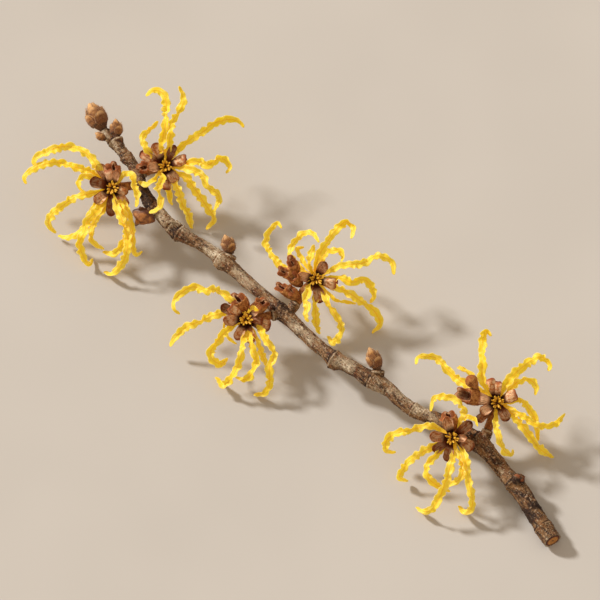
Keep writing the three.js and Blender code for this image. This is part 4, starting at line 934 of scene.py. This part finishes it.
# A bud's scale: a leaf wrapped round the bud's axis, as far out as the bud is thick there, with a
# raised edge and a pointed tip. v runs across it and s from its base to its tip.
def scalePart(foot, axis, width, turn, start, end, spread, clear, seed):
    along = unit(axis)
    first = unit(toEye - (toEye @ along) * along)
    second = np.cross(along, first)
    s = closeAtEnds(budLook["rows"])
    v, side, _ = ringOf(budLook["columns"])
    outline = np.sqrt(np.clip(1 - s**2.4, 0.003, 1)) * (0.6 + 0.4 * ease(s, 0, 0.4))
    at = start + (end - start) * s
    thick = budLook["body"] * width * budProfile(at)
    wide = spread * outline[:, None] * v / np.maximum(0.45, (thick / thick.max())[:, None]) ** 0.5
    lift = budLook["tipLift"] * s[:, None] ** 3 + budLook["rimLift"] * np.abs(v) ** 3
    lift = clear + width / 5 * lift
    out = np.cos(turn + wide)[..., None] * first + np.sin(turn + wide)[..., None] * second
    radius = thick[:, None] + lift + budLook["scaleThickness"] / 2 * side
    middle = foot + axis * at[:, None]
    rings = roughened(middle[:, None] + radius[..., None] * out, out, 0.05, 0.8, 2, seed)
    return skin(rings, beside(s[:, None], v, 0.3 + 0.2 * (seed % 3)), tip=0.02 * along)


# A bud: an egg of a core wrapped in its scales, with hairs that lie along it
def bud(name, number):
    look = budLook
    base, tip, width, count = buds[name]
    foot, point = seen(*base), seen(*tip)
    axis = point - foot
    egg = lambda s, angle: budProfile(s * 1.1 - 0.1) / np.maximum(np.sin(math.pi * s) ** 0.62, 0.05)
    core = pod(foot - 0.1 * axis, point, toEye, 0.86 * width, 0.86 * width, blunt=0.62, rows=40, columns=36,
               change=egg, grain=0.06, seed=number, tint=0.5)
    scales = []
    for k in range(count):
        level = k / count
        turn = goldenTurn * k + 0.5
        start, end = 0.02 + 0.42 * level, min(0.5 + 0.52 * level, 0.99)
        scales.append(scalePart(foot, axis, width, turn, start, end, 0.85 - 0.2 * level,
                                (0.12 - 0.1 * level) * width / 3, 20 * number + k))
    share = width / buds["terminal_bud"][2]
    hairCount = int(look["hairs"] * share**2 / count)
    tufts = [
        tuftOn(part, hairCount, 300 + 20 * number + k, 0.9 * unit(axis), look["hairLength"],
               look["hairRadius"], number + k)
        for k, part in enumerate([core] + scales)
    ]
    return makePiece(f"{name}_scaly", [core] + scales + tufts, [budFinish, hairFinish], name)


# The old cup: a dry shell with an open mouth, and a flap that stands off it
def oldCup():
    wrinkles = lambda s, angle: 1 + 0.05 * np.sin(5 * angle + 3 * s) + 0.03 * np.sin(11 * angle)
    shell = cupPart(seen(-37.2, 20.1, 9.9), seen(-42.1, 21.9, 9.4), toEye, 4.5, 5, mouth=0.7, slant=0.34)
    flap = pod(seen(-36.2, 19.7, 10.6), seen(-41.9, 22.3, 10.8), toEye, 3.6, 1.3, bow=-0.5, rows=30,
               columns=30, change=wrinkles, grain=0.08, seed=8, tint=0.7)
    return makePiece("old_cup_dry", [shell, flap], [cupFinish], "old_cup")


# Finishes. A Value is an output socket, and arithmetic on it adds Math nodes.


# A screen colour from 0 to 255 as linear light: c / 12.92 where it is dark, ((c + 0.055) / 1.055)^2.4
# elsewhere
def paint(*colour):
    shares = [c / 255 for c in colour]
    return *(c / 12.92 if c <= 0.04 else ((c + 0.055) / 1.055) ** 2.4 for c in shares), 1


class Value:
    def __init__(self, finish, socket):
        self.finish, self.socket = finish, socket

    def math(self, operation, *others):
        return self.finish.node("ShaderNodeMath", {"operation": operation}, dict(enumerate((self, *others))))

    def __add__(self, other):
        return self.math("ADD", other)

    def __mul__(self, other):
        return self.math("MULTIPLY", other)

    def __sub__(self, other):
        return self.math("SUBTRACT", other)

    def __rsub__(self, other):
        return self.finish.node("ShaderNodeMath", {"operation": "SUBTRACT"}, {0: other, 1: self})

    def __abs__(self):
        return self.math("ABSOLUTE")

    __radd__, __rmul__ = __add__, __mul__

    # 0 below low, 1 above high, smooth between them; the other way round where low is above high
    def ease(self, low, high):
        settings = {"interpolation_type": "SMOOTHSTEP"}
        if low > high:
            return 1 - self.finish.node("ShaderNodeMapRange", settings, {0: self, 1: high, 2: low})
        return self.finish.node("ShaderNodeMapRange", settings, {0: self, 1: low, 2: high})


class Finish:
    def __init__(self, name, **constants):
        self.material = bpy.data.materials.new(name)
        self.material.use_nodes = True
        self.tree = self.material.node_tree
        self.shader = self.tree.nodes["Principled BSDF"]
        for socket, value in constants.items():
            self.shader.inputs[socket.replace("_", " ")].default_value = value
        surface = self.node("ShaderNodeAttribute", {"attribute_name": "surface"}, {}, "Vector")
        parts = self.node("ShaderNodeSeparateXYZ", {}, {0: surface}, None)
        self.along, self.across, self.tint = (Value(self, parts.outputs[k]) for k in range(3))
        coordinates = self.node("ShaderNodeTexCoord", {}, {}, "Object")
        inMillimetres = {0: coordinates, "Scale": 1 / millimetre}
        self.place = self.node("ShaderNodeVectorMath", {"operation": "SCALE"}, inMillimetres)

    # A node of the given type: its settings, then the values or links of its sockets
    def node(self, kind, settings, inputs, output=0):
        made = self.tree.nodes.new(kind)
        for key, value in settings.items():
            setattr(made, key, value)
        for key, value in inputs.items():
            if isinstance(value, Value):
                self.tree.links.new(value.socket, made.inputs[key])
            else:
                made.inputs[key].default_value = value
        return made if output is None else Value(self, made.outputs[output])

    # Noise from 0 to 1 with features of the given size in millimetres
    def noise(self, size, detail=3.0, rough=0.55, vector=None):
        inputs = {"Vector": vector or self.place, "Scale": 1 / size, "Detail": detail, "Roughness": rough}
        return self.node("ShaderNodeTexNoise", {}, inputs)

    def blend(self, share, first, second):
        settings = {"data_type": "RGBA", "clamp_factor": True}
        return self.node("ShaderNodeMix", settings, {0: share, 6: first, 7: second}, 2)

    # A colour with coats over it, each a share and its paint
    def coats(self, colour, *coats):
        for share, *rgb in coats:
            colour = self.blend(share, colour, paint(*rgb))
        return colour

    def vector(self, x, y, z):
        return self.node("ShaderNodeCombineXYZ", {}, {0: x, 1: y, 2: z})

    # The finished material: its colour, roughness, and a height in millimetres for its relief
    def end(self, colour, roughness, height=None, strength=0.6):
        for socket, value in (("Base Color", colour), ("Roughness", roughness)):
            if isinstance(value, Value):
                self.tree.links.new(value.socket, self.shader.inputs[socket])
            else:
                self.shader.inputs[socket].default_value = value
        if height is not None:
            inputs = {"Strength": strength, "Distance": millimetre, "Height": height}
            bump = self.node("ShaderNodeBump", {}, inputs)
            self.tree.links.new(bump.socket, self.shader.inputs["Normal"])
        return self.material


def barkMaterial():
    f = Finish("bark", Specular_IOR_Level=0.3)
    grain = unit(twigPlaces[-1] - twigPlaces[0])
    side = unit(np.cross(grain, upright))
    axes = (grain / 2.6, side, np.cross(side, grain))
    dot = {"operation": "DOT_PRODUCT"}
    stretched = f.vector(*(f.node("ShaderNodeVectorMath", dot, {0: f.place, 1: axis}, 1) for axis in axes))
    mottle = f.noise(1.1, 4, vector=stretched)
    streak = f.noise(0.35, 3, vector=stretched)
    colour = f.blend(mottle.ease(0.38, 0.62), paint(60, 38, 22), paint(138, 100, 62))
    colour = f.coats(
        colour,
        (streak.ease(0.5, 0.62) * 0.6, 166, 130, 90),
        (f.noise(3, 3).ease(0.56, 0.68) * 0.3, 122, 66, 36),
    )
    # the crust value from the twig carries the bark's pale coating together with painted light and shade
    crustAndShading = f.across + (f.noise(0.45, 4, 0.7, vector=stretched) - 0.5) * 2.2
    colour = f.coats(
        colour,
        # pale coating, partly painted light on the upper side
        (crustAndShading.ease(0.0, 0.7) * 0.8, 180, 158, 128),
        (crustAndShading.ease(0.8, 1.15) * 0.85, 232, 216, 188),
        (f.noise(0.62, 2).ease(0.58, 0.66) * 0.6, 126, 56, 24),
        (f.noise(0.4, 2).ease(0.6, 0.67) * 0.6, 222, 202, 172),
    )
    crevice = f.noise(0.4, 4, 0.65, vector=stretched)
    colour = f.coats(
        colour,
        (crevice.ease(0.44, 0.36) * 0.85, 38, 20, 11),
        (f.noise(0.5, 2).ease(0.38, 0.32) * 0.7, 44, 24, 14),
        # painted shade: darkest brown on the underside, under the heads and at the foot of the resting bud
        (crustAndShading.ease(-0.4, -1.15) * 0.92, 34, 15, 7),
        (f.tint.ease(0.3, 0.8) * 0.7, 184, 150, 118),
        (f.tint.ease(-0.1, -0.9) * 0.75, 136, 66, 28),
    )
    grit = f.noise(0.22, 3)
    return f.end(colour, 0.62 + 0.25 * mottle, crevice * 0.2 + grit * 0.09, 1.0)


# The cut end: across is 0 at the pith and 1 at the bark's edge
def woodMaterial():
    f = Finish("cut_wood")
    ring = f.noise(0.16, 2, vector=f.vector(f.across * 2.2, 0.0, 0.0))
    colour = f.blend(ring.ease(0.35, 0.65), paint(204, 138, 62), paint(150, 86, 28))
    colour = f.coats(
        colour,
        (f.noise(0.5, 3).ease(0.45, 0.7) * 0.6, 222, 168, 92),
        (f.across.ease(0.2, 0.06), 96, 54, 24),
        (f.across.ease(0.55, 0.72), 96, 44, 14),
        (f.across.ease(0.78, 0.86), 58, 26, 10),
    )
    return f.end(colour, 0.7, ring * 0.06 + f.noise(0.12, 2) * 0.08)


def budMaterial():
    f = Finish("bud_felt", Sheen_Weight=0.15, Sheen_Roughness=0.5)
    mottle = f.noise(0.9, 4)
    colour = f.blend(mottle.ease(0.35, 0.65), paint(124, 68, 18), paint(200, 136, 54))
    colour = f.coats(
        colour,
        (f.tint.ease(0.55, 0.65) * 0.5, 104, 46, 18),
        # painted shade: each scale darker towards its foot, under the scale that overlaps it
        (f.along.ease(0.84, 0.4) * 0.6, 92, 44, 12),
        (f.along.ease(0.6, 0.95) * 0.75, 240, 192, 132),
    )
    # painted shade: a dark band just inside each scale's edge, below a pale edge line
    rim = abs(f.across).ease(0.66, 0.86) * abs(f.across).ease(0.96, 0.9)
    colour = f.coats(
        colour,
        (rim * 0.8, 92, 38, 12),
        (abs(f.across).ease(0.93, 1) * 0.7, 240, 196, 142),
        # painted shade: near black at the foot of each scale and of the core
        (f.along.ease(0.22, 0.02) * 0.85, 50, 24, 12),
    )
    nap = f.noise(0.12, 2)
    colour = f.blend(nap.ease(0.5, 0.7) * 0.4, colour, paint(226, 178, 122))
    return f.end(colour, 0.8, nap * 0.08 + mottle * 0.1)


# The calyx's tint tells its two sides apart: inner below 0.3, felt above it. A lobe is darker the
# further its tint is from 0 or 1.
def calyxMaterial():
    f = Finish("calyx", Sheen_Weight=0.05, Specular_IOR_Level=0.15)
    mottle = f.noise(0.8, 3)
    inner = f.blend(mottle.ease(0.35, 0.6), paint(206, 128, 70), paint(255, 214, 166))
    # painted light: a tint below 0 marks a lobe in front, painted paler as if lit
    inner = f.blend(f.tint.ease(0, -0.1) * 0.7, inner, paint(252, 202, 158))
    rim = abs(f.across).ease(0.74, 1) + f.along.ease(0.76, 0.98)
    inner = f.coats(
        inner,
        (rim * 0.85, 164, 70, 18),
        # painted shade: near black deep in the throat at the lobes' feet, and inside the mouths of spent
        # calyces
        (f.along.ease(0.46, 0.16), 54, 14, 3),
    )
    felt = f.blend(mottle.ease(0.3, 0.7), paint(148, 86, 34), paint(226, 160, 90))
    felt = f.coats(
        felt,
        (f.noise(0.5, 3).ease(0.55, 0.7) * 0.5, 98, 42, 12),
        (f.along.ease(0.84, 0.97) * 0.6, 206, 116, 60),
    )
    colour = f.blend(f.tint.ease(0.3, 0.6), inner, felt)
    tone = abs(f.tint - 0.5).ease(0.5, 0.25)
    colour = f.blend(tone * 0.7, colour, paint(112, 46, 10))
    veins = f.noise(0.3, 2, vector=f.vector(f.across * 3, f.along * 0.7, f.tint))
    colour = f.blend(veins.ease(0.53, 0.66) * 0.65, colour, paint(96, 34, 4))
    return f.end(colour, 0.45 + 0.25 * mottle, veins * 0.1 + f.noise(0.2, 2) * 0.08)


def petalMaterial():
    # painted light: the petals glow faintly orange-yellow through emission, standing in for light passing
    # through them
    f = Finish("petal", Subsurface_Weight=0.5, Subsurface_Radius=(1.0, 0.8, 0.25),
               Subsurface_Scale=millimetre, Specular_IOR_Level=0.3, Emission_Color=(1.0, 0.6, 0.03, 1),
               Emission_Strength=0.15)
    mottle = f.noise(3.0, 2)
    colour = f.blend(mottle.ease(0.3, 0.7), paint(238, 194, 30), paint(245, 206, 60))
    colour = f.blend(f.tint * 0.5, colour, paint(250, 212, 78))
    creases = f.noise(0.5, 3, vector=f.vector(f.along * 0.5, f.across * 0.5, f.tint))
    colour = f.coats(
        colour,
        # painted highlights: pale flecks on the creases, and pale edges
        (creases.ease(0.5, 0.72) * 0.35, 248, 220, 142),
        (abs(f.across).ease(0.75, 1) * 0.5, 250, 226, 150),
        # painted shade: a darker golden line along the middle fold
        (abs(f.across).ease(0.16, 0.02) * 0.7, 232, 158, 12),
        (f.along.ease(2.2, 0.6) * 0.7, 226, 146, 20),
    )
    veins = f.noise(0.16, 2, vector=f.vector(f.along * 0.12, f.across, f.tint))
    return f.end(colour, 0.5, creases * 0.1 + veins * 0.05, 0.8)


def stamenMaterial():
    f = Finish("stamen")
    grain = f.noise(0.3, 3)
    colour = f.blend(grain.ease(0.35, 0.65), paint(206, 142, 16), paint(246, 196, 44))
    colour = f.coats(
        colour,
        # painted shade: darker at each stamen's foot
        (f.along.ease(0.35, 0.0) * 0.8, 128, 70, 12),
        # painted highlights: pale gold flecks
        (f.noise(0.12, 1).ease(0.6, 0.7) * 0.6, 252, 220, 100),
    )
    return f.end(colour, 0.55, grain * 0.12, 1.0)


def cupMaterial():
    f = Finish("dry_cup", Coat_Weight=0.1, Coat_Roughness=0.35)
    mottle = f.noise(1.2, 4)
    colour = f.blend(mottle.ease(0.35, 0.65), paint(104, 54, 16), paint(180, 112, 44))
    streak = f.noise(0.4, 3, vector=f.vector(f.across * 2.4, f.along * 0.8, 0.0))
    colour = f.coats(
        colour,
        (streak.ease(0.55, 0.7) * 0.6, 206, 148, 70),
        # painted light and shade: one side of the shell and flap is darker across its width, the other paler
        # as lit
        (f.across.ease(0.1, 0.6) * 0.85, 70, 24, 10),
        (f.along.ease(0.8, 0.98) * 0.8, 40, 20, 10),
    )
    return f.end(colour, 0.42 + 0.3 * mottle, streak * 0.12 + f.noise(0.25, 3) * 0.12)


def throatMaterial():
    f = Finish("throat", Specular_IOR_Level=0.2)
    colour = f.blend(f.noise(0.4, 3).ease(0.4, 0.65), paint(44, 11, 2), paint(104, 48, 5))
    return f.end(colour, 0.7, f.noise(0.2, 2) * 0.15)


def hairMaterial():
    f = Finish("hair")
    colour = f.blend(f.noise(0.8, 2).ease(0.3, 0.7), paint(176, 112, 50), paint(226, 172, 104))
    return f.end(colour, 0.6)


def floorMaterial():
    f = Finish("pale_floor")
    colour = f.blend(f.noise(60, 2).ease(0.3, 0.7), paint(200, 194, 186), paint(204, 198, 190))
    return f.end(colour, 0.85)


barkFinish, woodFinish, budFinish = barkMaterial(), woodMaterial(), budMaterial()
calyxFinish, petalFinish, stamenFinish = calyxMaterial(), petalMaterial(), stamenMaterial()
cupFinish, hairFinish, throatFinish = cupMaterial(), hairMaterial(), throatMaterial()

# The branch
spurParts = [
    spurPart(seen(*start), seen(*end), *radii, resting=float(number == twigLook["resting"]))
    for number, (start, end, *radii) in enumerate(twigLook["spurs"])
]
for head in heads:
    spurParts.append(spurPart(*spurOf(head)[:2], twigLook["spurRadius"], twigLook["spurRadius"]))
makePiece("twig_bark", [twigPart()] + spurParts, [barkFinish, woodFinish], "twig")
for number, name in enumerate(buds, 1):
    bud(name, number)
oldCup()
for number, head in enumerate(heads, 1):
    calyx(head, number)
    petals(head, number)
    stamens(head, number)

# The surface, the light and the camera
studio = {
    "floor": 4.0,
    "sun": {"towards": -16.3 * rightward + 10.1 * away + 12.5 * upright, "energy": 3.2,
            "angle": math.radians(7.5), "colour": (1.0, 0.985, 0.97)},
    "sky": {"colour": (1.0, 0.85, 0.69), "strength": 0.54},
    # in metres: how far off the camera is, how wide it sees there, and where its view is clipped; the
    # sensor is in millimetres
    "camera": {"distance": 6.0, "width": 0.15, "sensor": 36, "clip": (0.05, 20)},
}
half = studio["floor"] / 2
floorMesh = bpy.data.meshes.new("floor")
corners = [(-half, -half, 0), (half, -half, 0), (half, half, 0), (-half, half, 0)]
floorMesh.from_pydata(corners, [], [(0, 1, 2, 3)])
floorMesh.materials.append(floorMaterial())
floor = bpy.data.objects.new("floor", floorMesh)
bpy.context.scene.collection.objects.link(floor)

sunLamp = bpy.data.lights.new("sun", "SUN")
sunLamp.energy, sunLamp.angle, sunLamp.color = (studio["sun"][key] for key in ("energy", "angle", "colour"))
sun = bpy.data.objects.new("sun", sunLamp)
sun.rotation_euler = Vector(studio["sun"]["towards"]).to_track_quat("Z", "Y").to_euler()
bpy.context.scene.collection.objects.link(sun)

world = bpy.data.worlds.new("sky")
world.use_nodes = True
background = world.node_tree.nodes["Background"]
background.inputs["Color"].default_value = (*studio["sky"]["colour"], 1)
background.inputs["Strength"].default_value = studio["sky"]["strength"]
bpy.context.scene.world = world

bpy.context.scene.view_settings.view_transform = "Standard"
cameraData = bpy.data.cameras.new("camera")
view = studio["camera"]
cameraData.sensor_width = view["sensor"]
cameraData.lens = view["sensor"] * view["distance"] / view["width"]
cameraData.clip_start, cameraData.clip_end = view["clip"]
camera = bpy.data.objects.new("camera", cameraData)
target = seen(0, 0, 0) * millimetre
place = target + toEye * view["distance"]
axes = np.column_stack([rightward, upward, toEye, place])
camera.matrix_world = Matrix([*axes.tolist(), (0, 0, 0, 1)])
bpy.context.scene.collection.objects.link(camera)
bpy.context.scene.camera = camera

bpy.context.view_layer.update()
print("branch finished")
